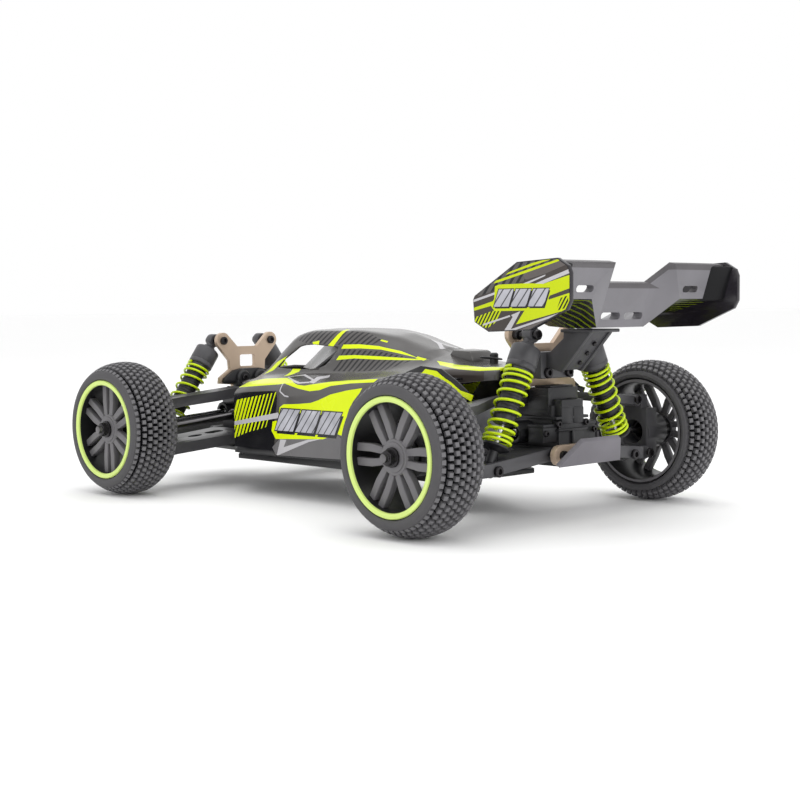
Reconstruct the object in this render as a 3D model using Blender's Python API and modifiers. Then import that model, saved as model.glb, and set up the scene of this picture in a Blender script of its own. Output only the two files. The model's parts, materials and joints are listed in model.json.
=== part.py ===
"""A 1/10 scale four-wheel-drive radio-controlled buggy, as separate pieces.

Frame: +Z up, the nose points to -Y, the vehicle's left side is +X. The origin is
on the ground, under the middle of the overall length. The numbers below are in
millimetres, and MM turns them into Blender's metres.
"""

import math

import bmesh
import bpy
from mathutils import Matrix, Vector

MM = 0.001
GAP = 0.4  # between pieces that touch or rest on each other

# Driving dimensions
WHEELBASE = 262.0
FRONT_AXLE_Y = -142.0
REAR_AXLE_Y = FRONT_AXLE_Y + WHEELBASE
HALF_LENGTH = 200.0
AXLE_Z = 42.0
TYRE_R = AXLE_Z
RIM_R = 30.9
RIM_IN_R = 27.8
WHEEL_IN_X = 85.0
WHEEL_OUT_X = 118.0
KINGPIN_X = 93.0
AXLE_TIP_X = 121.0
CHASSIS_BOTTOM = 21.5
CHASSIS_TOP = 24.5
ARM_REACH = Vector((62.5, 0.0, -6.4))  # inner to outer pin of every arm
ARM_LENGTH = ARM_REACH.length
ARM_DROOP = math.atan2(-ARM_REACH.z, ARM_REACH.x)
PIN_R = 1.5
PIN_BORE_R = 2.05
OPEN_BORE_R = 2.9  # around a pin that only a coupling keeps in place
SHAFT_Z = 36.0
STEER_RADIUS = 14.5
STEER_PIN_Z = 40.0
TIE_INNER_X = 25.5
TIE_INNER_Z = 46.4
DRIVE_INNER = (22.0, 48.4)
SAVER_X = 14.0
SAVER_Y = -103.0

CORNERS = {
    "front": {
        "axle_y": FRONT_AXLE_Y,
        "low_in": (15.5, 32.5),
        "up_in": (17.0, 61.3),
        "up_span": (-2.9, 10.9),
        "shock_top": (20.0, 95.5),
        "shock_low": (67.0, 28.5),
        "shock_dy": -15.0,
        "turns": 8,
    },
    "rear": {
        "axle_y": REAR_AXLE_Y,
        "low_in": (15.5, 37.0),
        "up_in": (15.5, 67.4),
        "up_span": (-9.0, -3.4),
        "shock_top": (22.5, 101.5),
        "shock_low": (57.0, 31.7),
        "shock_dy": 11.5,
        "turns": 9,
    },
}

# name: (colour, roughness, metallic)
FINISHES = {
    "black_nylon": ((0.025, 0.025, 0.028), 0.55, 0.0),
    "grey_nylon": ((0.19, 0.19, 0.20), 0.5, 0.0),
    "bronze_alloy": ((0.33, 0.24, 0.15), 0.4, 0.8),
    "steel": ((0.55, 0.55, 0.56), 0.3, 1.0),
    "rubber": ((0.02, 0.02, 0.022), 0.85, 0.0),
    "rim_plastic": ((0.035, 0.035, 0.037), 0.45, 0.0),
    "neon_spring": ((0.68, 1.0, 0.02), 0.35, 0.0),
    "painted_shell": ((0.09, 0.085, 0.08), 0.2, 0.0),
    "motor_can": ((0.30, 0.30, 0.32), 0.35, 0.9),
    "battery_wrap": ((0.05, 0.08, 0.16), 0.45, 0.0),
}


# ---------------------------------------------------------------- helpers


def clear_scene():
    for old in list(bpy.data.objects):
        bpy.data.objects.remove(old, do_unlink=True)


def collection(name):
    made = bpy.data.collections.new(name)
    bpy.context.scene.collection.children.link(made)
    return made


def finish_material(name):
    if name in bpy.data.materials:
        return bpy.data.materials[name]
    colour, roughness, metallic = FINISHES[name]
    made = bpy.data.materials.new(name)
    made.use_nodes = True
    shader = made.node_tree.nodes["Principled BSDF"]
    shader.inputs["Base Color"].default_value = (*colour, 1.0)
    shader.inputs["Roughness"].default_value = roughness
    shader.inputs["Metallic"].default_value = metallic
    return made


def from_bmesh(bm, matrix=None):
    """A helper object from a bmesh in millimetres, welded and facing out."""
    if matrix is not None:
        bm.transform(matrix)
    for vert in bm.verts:
        vert.co = [round(c * MM, 6) for c in vert.co]
    bmesh.ops.remove_doubles(bm, verts=bm.verts, dist=1e-6)
    bmesh.ops.recalc_face_normals(bm, faces=bm.faces)
    mesh = bpy.data.meshes.new("shape")
    bm.to_mesh(mesh)
    bm.free()
    made = bpy.data.objects.new("shape", mesh)
    HELPERS.objects.link(made)
    return made


def evaluated_mesh(source):
    bpy.context.view_layer.update()
    graph = bpy.context.evaluated_depsgraph_get()
    return bpy.data.meshes.new_from_object(source.evaluated_get(graph))


def discard(objects):
    for old in objects:
        bpy.data.objects.remove(old, do_unlink=True)


def block(x, y, z):
    """A box between the (low, high) pairs x, y and z."""
    bm = bmesh.new()
    bmesh.ops.create_cube(bm, size=1.0)
    size = [high - low for low, high in (x, y, z)]
    middle = Vector(((x[0] + x[1]) / 2, (y[0] + y[1]) / 2, (z[0] + z[1]) / 2))
    return from_bmesh(bm, Matrix.Translation(middle) @ Matrix.Diagonal((*size, 1.0)))


def along(start, end):
    """The matrix that takes the Z axis, centred, to the line from start to end."""
    start, end = Vector(start), Vector(end)
    turn = (end - start).to_track_quat("Z", "Y").to_matrix().to_4x4()
    return Matrix.Translation((start + end) / 2) @ turn


def rod(start, end, radius, sides=10):
    """A cylinder between two points."""
    bm = bmesh.new()
    bmesh.ops.create_cone(
        bm,
        cap_ends=True,
        segments=sides,
        radius1=radius,
        radius2=radius,
        depth=(Vector(end) - Vector(start)).length,
    )
    return from_bmesh(bm, along(start, end))


def ball(centre, radius):
    bm = bmesh.new()
    bmesh.ops.create_uvsphere(bm, u_segments=8, v_segments=4, radius=radius)
    return from_bmesh(bm, Matrix.Translation(Vector(centre)))


def arc(centre, radius, start_deg, end_deg, steps):
    """Points on an arc, anticlockwise where end_deg is larger."""
    found = []
    for i in range(steps + 1):
        angle = math.radians(start_deg + (end_deg - start_deg) * i / steps)
        found.append(
            (
                centre[0] + radius * math.cos(angle),
                centre[1] + radius * math.sin(angle),
            )
        )
    return found


def rounded_box(low, high, radius, steps=1):
    """The outline of a rectangle with round corners."""
    points = []
    corners = (
        (high[0] - radius, high[1] - radius, 0),
        (low[0] + radius, high[1] - radius, 90),
        (low[0] + radius, low[1] + radius, 180),
        (high[0] - radius, low[1] + radius, 270),
    )
    for x, y, start in corners:
        points += arc((x, y), radius, start, start + 90, steps)
    return points


def both_sides(half):
    """A closed outline from its right-hand half, mirrored in its second axis."""
    return half + [(-a, b) for a, b in reversed(half) if a > 1e-6]


def slab(outlines, low, high, plane):
    """A flat outline, with the other outlines as holes, extruded from low to high.

    plane XY extrudes along Z, plane XZ along Y and plane YZ along X.
    """
    curve = bpy.data.curves.new("outline", "CURVE")
    curve.dimensions = "2D"
    curve.fill_mode = "BOTH"
    curve.extrude = (high - low) / 2
    for outline in outlines:
        spline = curve.splines.new("POLY")
        spline.points.add(len(outline) - 1)
        for point, (a, b) in zip(spline.points, outline):
            point.co = (a, b, 0.0, 1.0)
        spline.use_cyclic_u = True
    source = bpy.data.objects.new("outline", curve)
    HELPERS.objects.link(source)
    mesh = evaluated_mesh(source)
    discard([source])
    bm = bmesh.new()
    bm.from_mesh(mesh)
    middle = (low + high) / 2
    columns = {
        "XY": ((1, 0, 0), (0, 1, 0), (0, 0, 1)),
        "XZ": ((1, 0, 0), (0, 0, 1), (0, 1, 0)),
        "YZ": ((0, 1, 0), (0, 0, 1), (1, 0, 0)),
    }[plane]
    turn = Matrix(columns).transposed().to_4x4()
    offset = Vector(columns[2]) * middle
    bmesh.ops.remove_doubles(bm, verts=bm.verts, dist=1e-4)
    return from_bmesh(bm, Matrix.Translation(offset) @ turn)


def turned(profile, start, end, steps=24):
    """A closed (radius, height) profile turned about the line from start to end.

    Heights are measured from start.
    """
    bm = bmesh.new()
    points = [bm.verts.new((r, 0.0, h)) for r, h in profile]
    for a, b in zip(points, points[1:] + points[:1]):
        bm.edges.new((a, b))
    mesh = bpy.data.meshes.new("profile")
    bm.to_mesh(mesh)
    bm.free()
    source = bpy.data.objects.new("profile", mesh)
    HELPERS.objects.link(source)
    screw = source.modifiers.new("turn", "SCREW")
    screw.steps = steps
    screw.render_steps = steps
    screw.use_merge_vertices = True
    screw.merge_threshold = 0.0001
    made = evaluated_mesh(source)
    discard([source])
    bm = bmesh.new()
    bm.from_mesh(made)
    start = Vector(start)
    turn = (Vector(end) - start).to_track_quat("Z", "Y").to_matrix().to_4x4()
    return from_bmesh(bm, Matrix.Translation(start) @ turn)


def coil(start, end, radius, wire, turns, per_turn=8):
    """A compression spring from start to end, with closer turns at both ends."""
    length = (Vector(end) - Vector(start)).length
    count = turns * per_turn
    curve = bpy.data.curves.new("coil", "CURVE")
    curve.dimensions = "3D"
    curve.bevel_depth = wire
    curve.bevel_resolution = 0
    curve.use_fill_caps = True
    spline = curve.splines.new("POLY")
    spline.points.add(count)
    for i, point in enumerate(spline.points):
        share = i / count
        height = share - 0.055 * math.sin(2 * math.pi * share)
        angle = 2 * math.pi * i / per_turn
        point.co = (
            radius * math.cos(angle),
            radius * math.sin(angle),
            (height - 0.5) * length,
            1.0,
        )
    source = bpy.data.objects.new("coil", curve)
    HELPERS.objects.link(source)
    mesh = evaluated_mesh(source)
    discard([source])
    bm = bmesh.new()
    bm.from_mesh(mesh)
    bmesh.ops.remove_doubles(bm, verts=bm.verts, dist=1e-4)
    return from_bmesh(bm, along(start, end))


def loft(sections):
    """A closed solid through closed sections that have the same number of points."""
    bm = bmesh.new()
    rings = [[bm.verts.new(point) for point in section] for section in sections]
    for ring, following in zip(rings, rings[1:]):
        for i in range(len(ring)):
            j = (i + 1) % len(ring)
            bm.faces.new((ring[i], ring[j], following[j], following[i]))
    bm.faces.new(reversed(rings[0]))
    bm.faces.new(rings[-1])
    return from_bmesh(bm)


def tilted(shapes, pivot, angle):
    """The shapes turned about the Y axis through pivot, nose of +X down."""
    to_pivot = Matrix.Translation(Vector(pivot) * MM)
    turn = to_pivot @ Matrix.Rotation(angle, 4, "Y") @ to_pivot.inverted()
    for shape in shapes:
        shape.data.transform(turn)
    return shapes


def piece(name, shapes, material, cuts=(), origin=(0, 0, 0)):
    """Joins the shapes, takes the cuts away and keeps the result as one named part."""
    base = shapes[0]
    steps = [(other, "UNION") for other in shapes[1:]]
    steps += [(other, "DIFFERENCE") for other in cuts]
    for other, operation in steps:
        join = base.modifiers.new("join", "BOOLEAN")
        join.operation = operation
        join.solver = "EXACT"
        join.object = other
    mesh = evaluated_mesh(base)
    discard(list(shapes) + list(cuts))
    bm = bmesh.new()
    bm.from_mesh(mesh)
    bmesh.ops.remove_doubles(bm, verts=bm.verts, dist=2e-6)
    bmesh.ops.recalc_face_normals(bm, faces=bm.faces)
    bm.to_mesh(mesh)
    bm.free()
    return keep(name, mesh, material, Vector(origin) * MM)


def keep(name, mesh, material, origin):
    mesh.name = name
    mesh.materials.clear()
    mesh.materials.append(finish_material(material))
    mesh.shade_smooth()
    mesh.set_sharp_from_angle(angle=math.radians(32))
    mesh.transform(Matrix.Translation(-origin))
    made = bpy.data.objects.new(name, mesh)
    made.location = origin
    PARTS.objects.link(made)
    return made


def mirrored(source, name):
    """The same piece for the vehicle's right side."""
    mesh = source.data.copy()
    mesh.transform(Matrix.Diagonal((-1.0, 1.0, 1.0, 1.0)))
    mesh.flip_normals()
    mesh.name = name
    made = bpy.data.objects.new(name, mesh)
    made.location = source.location * Vector((-1, 1, 1))
    PARTS.objects.link(made)
    return made


def both(end, kind, shapes, material, cuts=(), origin=(0, 0, 0)):
    """The left piece of that kind and its mirrored right one."""
    left = piece(f"{end}_left_{kind}", shapes, material, cuts, origin)
    mirrored(left, f"{end}_right_{kind}")


def lug_and_pin(x, z, low_y, high_y, reach_x, thick=3.0, lugs="both"):
    """A hinge pin along Y and the lugs that hold its ends, on both sides of the car."""
    shapes = []
    for side in (1, -1):
        shapes.append(
            rod(
                (side * x, low_y - thick, z), (side * x, high_y + thick, z), PIN_R
            )
        )
    spans = {
        "both": ((low_y - thick, low_y), (high_y, high_y + thick)),
        "high": ((high_y, high_y + thick),),
    }[lugs]
    for span in spans:
        outline = rounded_box((-x - 4.0, z - 4.0), (x + 4.0, z + 4.0), 3.9)
        shapes.append(slab([outline], span[0], span[1], "XZ"))
    for span in spans:
        shapes.append(block((-reach_x, reach_x), span, (z - 3.0, z + 3.0)))
    return shapes


# ---------------------------------------------------------------- frame


def make_chassis():
    half = [
        (13.0, -178.0),
        (18.0, -125.0),
        (46.5, -96.0),
        (46.5, 50.0),
        (24.0, 88.0),
        (15.0, 101.0),
    ]
    shapes = [slab([both_sides(half)], CHASSIS_BOTTOM, CHASSIS_TOP, "XY")]
    for side in (1, -1):
        wall = sorted((side * 43.9, side * 46.5))
        shapes.append(block(wall, (-92.0, 48.0), (CHASSIS_BOTTOM + 0.5, 31.0)))
    shapes.append(rod((SAVER_X, SAVER_Y, 22.5), (SAVER_X, SAVER_Y, 54.0), 2.0))
    slots = []
    for side in (1, -1):
        x = sorted((side * 27.0, side * 35.0))
        outline = rounded_box((x[0], -86.0), (x[1], -68.0), 3.5)
        slots.append(slab([outline], CHASSIS_BOTTOM - 2, CHASSIS_TOP + 2, "XY"))
    piece("chassis_plate", shapes, "black_nylon", slots)


def make_front_bumper():
    half = [
        (0.0, -HALF_LENGTH),
        (20.0, -198.5),
        (31.0, -192.0),
        (34.0, -184.0),
        (30.0, -178.0),
        (16.0, -170.0),
        (12.0, -168.4),
    ]
    hole = rounded_box((6.0, -190.0), (22.0, -180.0), 3.0)
    other = [(-x, y) for x, y in hole]
    shapes = [
        slab([both_sides(half), hole, other], CHASSIS_TOP + GAP, 29.0, "XY"),
        loft(
            [
                [
                    (x, -HALF_LENGTH + sag, 26.0),
                    (x, -HALF_LENGTH + sag + 4.0, 26.0),
                    (x, -HALF_LENGTH + sag + 4.0, 37.0),
                    (x, -HALF_LENGTH + sag, 37.0),
                ]
                for x, sag in ((-28, 6.2), (-15, 1.2), (0, 0.0), (15, 1.2), (28, 6.2))
            ]
        ),
    ]
    piece("front_bumper", shapes, "black_nylon")


def drive_cups(y):
    """The outdrive cups that hold the inner ends of both driveshafts."""
    x, z = DRIVE_INNER
    shapes = []
    cuts = []
    for side in (1, -1):
        shapes.append(rod((side * 8, y, z), (side * (x + 2.5), y, z), 6.2))
        cuts.append(rod((side * (x - 5), y, z), (side * (x + 4), y, z), 4.4))
    return shapes, cuts


def make_front_gearbox():
    y = FRONT_AXLE_Y
    corner = CORNERS["front"]
    cups, cuts = drive_cups(y)
    shapes = [
        block((-10.8, 10.8), (-160.0, -129.0), (CHASSIS_TOP + GAP, 57.4)),
        rod((-10.0, y, 48.4), (10.0, y, 48.4), 8.9),
        rod((0, -131.0, SHAFT_Z), (0, -127.6, SHAFT_Z), 6.6),
        block((-7.0, 7.0), (-134.0, -129.5), (50.0, 61.0)),
    ]
    shapes += cups
    shapes += lug_and_pin(15.5, corner["low_in"][1], y - 22.4, y + 22.4, 11.0)
    for span in ((y - 25.4, y - 12.0), (y + 12.0, y + 25.4)):
        shapes.append(block((-10.0, 10.0), span, (CHASSIS_TOP + GAP, 33.0)))
    low, high = corner["up_span"]
    x, z = corner["up_in"]
    outline = rounded_box((-x - 4, z - 4), (x + 4, z + 4), 3.9)
    shapes.append(slab([outline], y + high + GAP, y + high + 3.4, "XZ"))
    for side in (1, -1):
        shapes.append(
            rod((side * x, y + low, z), (side * x, y + high + 2, z), PIN_R)
        )
    cuts.append(rod((0, -133.0, SHAFT_Z), (0, -110.0, SHAFT_Z), 5.4))
    piece("front_gearbox", shapes, "black_nylon", cuts)


def make_rear_gearbox():
    y = REAR_AXLE_Y
    corner = CORNERS["rear"]
    cups, cuts = drive_cups(y)
    shapes = [
        block((-10.8, 10.8), (99.0, 141.0), (30.2, 55.0)),
        block((-10.8, 10.8), (88.0, 102.0), (CHASSIS_TOP + GAP, 30.8)),
        block((-12.0, 12.0), (104.0, 137.0), (50.0, 63.0)),
        block((-12.5, 12.5), (120.6, 135.0), (58.0, 72.5)),
        block((-22.0, 22.0), (129.0, 139.5), (43.6, 53.0)),
        block((-9.0, 9.0), (134.0, 141.5), (53.0, 66.0)),
        rod((-10.0, y, 48.4), (10.0, y, 48.4), 8.9),
        rod((0, 101.0, SHAFT_Z), (0, 97.6, SHAFT_Z), 6.6),
    ]
    shapes += cups
    shapes += lug_and_pin(15.5, corner["low_in"][1], y - 20.4, y + 20.4, 11.0)
    low, high = corner["up_span"]
    x, z = corner["up_in"]
    for y0, y1 in ((low - 3.4, low - GAP), (high + GAP, high + 3.0)):
        outline = rounded_box((-x - 3.6, z - 3.6), (x + 3.6, z + 3.6), 3.5)
        shapes.append(slab([outline], y + y0, y + y1, "XZ"))
    for side in (1, -1):
        shapes.append(
            rod((side * x, y + low - 2, z), (side * x, y + high + 2, z), PIN_R)
        )
    shapes.append(block((-11.0, 11.0), (y + low - 3.4, y + high + 3.0), (62.0, 65.0)))
    cuts.append(rod((0, 103.0, SHAFT_Z), (0, 95.0, SHAFT_Z), 5.4))
    piece("rear_gearbox", shapes, "black_nylon", cuts)


def shock_pins(end, wall_y, tip_y):
    """The bolts on a tower that the shock absorbers hang from."""
    x, z = CORNERS[end]["shock_top"]
    step = math.copysign(1.0, tip_y - wall_y)
    shapes = []
    for side in (1, -1):
        at = side * x
        shapes.append(rod((at, wall_y - step, z), (at, tip_y, z), PIN_R + 0.1))
        shapes.append(rod((at, wall_y - step, z), (at, wall_y + 3.6 * step, z), 3.0))
        shapes.append(rod((at, tip_y - step, z), (at, tip_y + step, z), 2.9))
        shapes.append(rod((at, wall_y - 4.6 * step, z), (at, wall_y - step, z), 3.2))
    return shapes


def make_front_tower():
    x, z = CORNERS["front"]["shock_top"]
    half = [
        (8.3, 91.4),
        *arc((x, z), 5.4, 125, -40, 5),
        (15.2, 82.0),
        (14.6, 76.0),
        (23.0, 70.5),
        (23.6, 66.5),
        (12.6, 65.6),
        (11.5, 58.0),
    ]
    window = rounded_box((-6.4, 77.8), (6.4, 85.8), 1.4, 2)
    shapes = [slab([both_sides(half), window], -148.5, -145.5, "XZ")]
    shapes += shock_pins("front", -148.5, -161.5)
    piece("front_shock_tower", shapes, "bronze_alloy")


def make_rear_tower():
    x, z = CORNERS["rear"]["shock_top"]
    half = [
        (9.5, 96.4),
        *arc((x, z), 5.4, 125, -40, 5),
        (16.0, 86.5),
        (15.4, 77.5),
        (27.0, 76.0),
        (28.5, 74.0),
        (28.5, 68.6),
        (22.0, 66.0),
        (20.4, 65.0),
        (19.9, 72.2),
        (0.0, 72.9),
    ]
    window = rounded_box((-6.4, 84.0), (6.4, 91.5), 1.4, 2)
    shapes = [slab([both_sides(half), window], 117.2, 120.2, "XZ")]
    shapes += shock_pins("rear", 120.2, 136.5)
    piece("rear_shock_tower", shapes, "bronze_alloy")


def make_wing_mount():
    side = [
        (120.7, 78.5),
        (141.5, 81.0),
        (160.8, 101.4),
        (163.0, 104.4),
        (142.0, 104.4),
        (142.0, 99.5),
        (134.0, 92.5),
        (120.7, 92.5),
    ]
    shapes = []
    for x in (-9.6, 7.0):
        shapes.append(slab([side], x, x + 2.6, "YZ"))
    shapes.append(block((-9.0, 9.0), (120.7, 131.0), (79.0, 92.0)))
    shapes.append(block((-12.0, 12.0), (143.0, 164.6), (102.4, 104.3)))
    web = [
        (137.5, 81.4),
        (141.0, 81.2),
        (160.2, 101.5),
        (161.6, 103.5),
        (156.4, 103.5),
    ]
    shapes.append(slab([web], -8.0, 8.0, "YZ"))
    piece("wing_mount", shapes, "black_nylon")


def make_rear_wing():
    middle = [
        (142.0, 106.0),
        (158.0, 104.9),
        (174.0, 105.3),
        (178.5, 128.3),
        (174.5, 129.3),
        (171.5, 116.0),
        (168.0, 109.5),
        (157.0, 107.6),
        (142.5, 108.2),
    ]
    outer = [
        (142.0, 111.5),
        (160.0, 113.5),
        (185.0, 120.0),
        (191.0, 138.3),
        (186.8, 139.3),
        (183.5, 127.5),
        (180.0, 122.6),
        (160.0, 116.3),
        (142.5, 114.0),
    ]

    def flank(side):
        """The outer section's inner end, which leans in towards its top edge."""
        ends = []
        for y, z in outer:
            lean = min(max((z - 121.0) / 17.0, 0.0), 1.0)
            ends.append((side * (37.5 - 12.0 * lean), y, z))
        return ends

    sections = [[(-70.8, y, z) for y, z in outer], flank(-1)]
    sections += [[(x, y, z) for y, z in middle] for x in (-20.0, 20.0)]
    sections += [flank(1), [(70.8, y, z) for y, z in outer]]
    shapes = [loft(sections)]
    plate = [
        (166.0, 138.5),
        (192.0, 139.8),
        (198.6, 136.0),
        (HALF_LENGTH, 132.5),
        (HALF_LENGTH, 119.0),
        (197.5, 114.6),
        (174.4, 104.9),
        (146.8, 104.0),
        (137.2, 108.9),
        (136.2, 120.2),
        (137.3, 122.2),
    ]
    for side in (1, -1):
        x = sorted((side * 69.9, side * 72.3))
        shapes.append(slab([plate], x[0], x[1], "YZ"))
    cuts = []
    for side in (1, -1):
        for near, far, low, high in (
            (1.7, 17.6, 109.4, 113.1),
            (38.0, 51.5, 123.4, 126.9),
        ):
            x = sorted((side * near, side * far))
            outline = rounded_box((x[0], low), (x[1], high), 1.6, 2)
            cuts.append(slab([outline], 160.0, 205.0, "XZ"))
    piece("rear_wing", shapes, "grey_nylon", cuts)


def make_rear_bumper():
    plate = [
        (-26.0, 151.8, 33.6),
        (26.0, 151.8, 33.6),
        (26.0, 153.9, 31.8),
        (-26.0, 153.9, 31.8),
    ]
    top = [
        (-16.0, 160.0, 46.8),
        (16.0, 160.0, 46.8),
        (16.0, 162.1, 45.0),
        (-16.0, 162.1, 45.0),
    ]
    x, z = CORNERS["rear"]["low_in"]
    outline = rounded_box((-x - 6.5, z - 5.5), (x + 6.5, z + 5.5), 5.3, 3)
    shapes = [
        loft([plate, top]),
        slab([outline], 144.2, 147.4, "XZ"),
        block((-12.0, 12.0), (147.0, 154.5), (32.4, 35.0)),
        block((-6.0, 6.0), (147.0, 153.0), (33.0, 38.0)),
    ]
    for side in (1, -1):
        shapes.append(rod((side * x, 147.0, z), (side * x, 149.6, z), 2.7))
    piece("rear_bumper", shapes, "grey_nylon")


# ---------------------------------------------------------------- body


def body_sections():
    """Half sections of the painted shell, from the lower edge up to the middle."""
    return [
        (-126, ((19, 61), (21, 66), (20, 68.5), (16, 69.5), (12, 70), (6, 70.3), (0, 70.5))),
        (-98, ((24, 61), (28, 66.5), (27, 69), (23, 72), (17, 74.3), (9, 75.4), (0, 75.8))),
        (-95, ((50, 25.8), (50, 63), (47, 66.5), (32, 72.3), (23, 76.8), (14, 79), (0, 79.8))),
        (-80, ((51, 25.8), (51, 65), (48, 69), (32, 75), (26, 84.5), (21, 90.3), (0, 92))),
        (-62, ((51.5, 26), (51.5, 66), (49, 70), (32, 76.5), (27, 92), (22, 100.8), (0, 102))),
        (-50, ((52, 26), (52, 66.5), (49, 70.5), (32, 77), (27.5, 94.3), (22, 103), (0, 104))),
        (-17, ((52, 26.4), (52, 67.5), (49, 71.5), (32, 78), (27.5, 93.5), (21, 103.4), (0, 104.3))),
        (16, ((52, 27), (51, 69.5), (48, 73.5), (33, 79), (25.5, 92), (17, 99.8), (0, 101.8))),
        (30, ((51.6, 27.4), (50, 71.5), (47, 75.5), (34, 80), (24, 90.5), (15, 96.3), (0, 98.4))),
        (48, ((51, 28), (49, 73), (46, 76.5), (35, 81), (22, 88.5), (13, 92), (0, 93.4))),
        (54, ((44, 68), (43, 75.5), (41, 78.5), (33, 82), (20, 87.2), (11, 89.8), (0, 90.8))),
        (84, ((34, 74), (34, 79.5), (32, 82), (27, 83.5), (18, 84), (9, 84.3), (0, 84.5))),
        (113, ((28.5, 77), (28.5, 80.5), (27.5, 82), (24, 83.4), (16, 83.8), (8, 84), (0, 84))),
    ]


def make_body():
    """The shell: half a skin, mirrored, given its thickness, with both windows cut."""
    bm = bmesh.new()
    rows = []
    for y, half in body_sections():
        rows.append([bm.verts.new((x, y, z)) for x, z in half])
    for row, following in zip(rows, rows[1:]):
        for i in range(len(row) - 1):
            bm.faces.new((row[i], row[i + 1], following[i + 1], following[i]))
    skin = from_bmesh(bm)
    mirror = skin.modifiers.new("mirror", "MIRROR")
    mirror.merge_threshold = 0.0001
    thickness = skin.modifiers.new("thickness", "SOLIDIFY")
    thickness.thickness = 1.2 * MM
    thickness.offset = -1.0
    thickness.use_even_offset = True
    shell = bpy.data.objects.new("shape", evaluated_mesh(skin))
    HELPERS.objects.link(shell)
    discard([skin])
    window = [
        (-75.4, 79.6),
        (-64.0, 79.0),
        (-42.2, 79.2),
        (-27.9, 81.8),
        (-22.0, 87.4),
        (-17.3, 92.6),
        (-30.0, 93.6),
        (-50.3, 94.0),
        (-56.4, 92.8),
        (-62.7, 89.2),
        (-70.2, 85.2),
    ]
    screen = [(-13.0, 78.2), (13.0, 78.2), (16.5, 91.0), (15.0, 99.0), (-15.0, 99.0), (-16.5, 91.0)]
    seat = loft(
        [
            [(-27.9, -15.0, 95.5), (-27.9, -13.4, 95.5), (-30.0, -40.4, 77.0), (-30.0, -42.0, 77.0)],
            [(0.0, -50.0, 102.0), (0.0, -48.0, 102.0), (0.0, -84.5, 78.4), (0.0, -86.5, 78.4)],
            [(27.9, -15.0, 95.5), (27.9, -13.4, 95.5), (30.0, -40.4, 77.0), (30.0, -42.0, 77.0)],
        ]
    )
    scoop = loft(
        [
            [(x, 54.6, 86.5), (x, 60.0, 92.0), (x, 73.5, 91.6), (x, 76.0, 83.8), (x, 60.0, 84.5)]
            for x in (-9.0, 9.0)
        ]
    )
    sides = [slab([window], *sorted((side * 24.0, side * 60.0)), "YZ") for side in (1, -1)]
    front = slab([screen], -120.0, -62.0, "XZ")
    piece("body_shell", [shell, scoop, seat], "painted_shell", [*sides, front])


# ---------------------------------------------------------------- inside


def make_inside():
    """The electrics and the driveline that the shell covers."""
    floor = CHASSIS_TOP + GAP
    can = (-25.5, floor + 18.2)
    shapes = [
        rod((can[0], 2.0, can[1]), (can[0], 50.0, can[1]), 18.0, 18),
        rod((can[0], -9.0, can[1]), (can[0], 3.0, can[1]), 2.5),
        rod((can[0], -1.0, can[1]), (can[0], 3.0, can[1]), 7.0),
    ]
    piece("motor", shapes, "motor_can")
    outline = rounded_box((11.0, floor), (43.0, 48.0), 4.0, 2)
    piece("battery_pack", [slab([outline], -70.0, 50.0, "XZ")], "battery_wrap")
    shapes = [
        block((-43.0, -8.0), (-90.0, -24.0), (floor, 27.5)),
        block((-30.0, -10.0), (-88.0, -48.0), (27.0, 58.0)),
        rod((-20.0, -80.0, 57.0), (-20.0, -80.0, 62.0), 5.0),
        block((-42.0, -14.0), (-46.0, -26.0), (27.0, 44.0)),
    ]
    piece("radio_tray", shapes, "black_nylon")
    shapes = [
        rod((0, -131.5, SHAFT_Z), (0, 101.5, SHAFT_Z), 2.5),
        rod((0, -125.5, SHAFT_Z), (0, -116.0, SHAFT_Z), 4.5),
        rod((0, 88.0, SHAFT_Z), (0, 96.5, SHAFT_Z), 4.5),
    ]
    piece("centre_driveshaft", shapes, "steel", origin=(0, -15.0, SHAFT_Z))


def make_steering():
    """The servo saver, and the link that carries both tie rods."""
    tip = (SAVER_X, SAVER_Y - STEER_RADIUS)
    arm = rounded_box((SAVER_X - 4, tip[1] - 4), (SAVER_X + 4, SAVER_Y + 5), 3.5)
    shapes = [
        rod((SAVER_X, SAVER_Y, 30.0), (SAVER_X, SAVER_Y, 52.0), 6.0),
        slab([arm], 49.0, 52.0, "XY"),
        rod((*tip, 42.5), (*tip, 50.0), PIN_R),
    ]
    bore = rod((SAVER_X, SAVER_Y, 28.0), (SAVER_X, SAVER_Y, 56.0), 2.6)
    origin = (SAVER_X, SAVER_Y, 42.0)
    piece("servo_saver", shapes, "black_nylon", [bore], origin)
    y = FRONT_AXLE_Y + STEER_RADIUS
    z = TIE_INNER_Z
    bar = rounded_box((-TIE_INNER_X - 4, y + 3.0), (TIE_INNER_X + 4, y + 6.6), 1.7)
    shapes = [
        slab([bar], z - 2.6, z + 2.0, "XY"),
        rod((tip[0], tip[1], z - 2.6), (tip[0], tip[1], z + 2.0), 5.2, 14),
        block((SAVER_X - 5, SAVER_X + 5), (y + 5.0, tip[1]), (z - 2.6, z + 2.0)),
    ]
    for side in (1, -1):
        x = side * TIE_INNER_X
        shapes.append(rod((x, y - 3.4, z), (x, y + 5.5, z), PIN_R + 0.1))
        shapes.append(rod((x, y - 4.6, z), (x, y - 3.0, z), 2.8))
    hole = rod((*tip, z - 5), (*tip, z + 5), OPEN_BORE_R, 14)
    piece("steering_link", shapes, "black_nylon", [hole], (0, y, z))


# ---------------------------------------------------------------- corners


def arm_frame(corner, which):
    """Where an arm's inner pin is, and the shapes' own untilted frame there."""
    x, z = corner[which]
    return Vector((x, corner["axle_y"], z))


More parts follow.
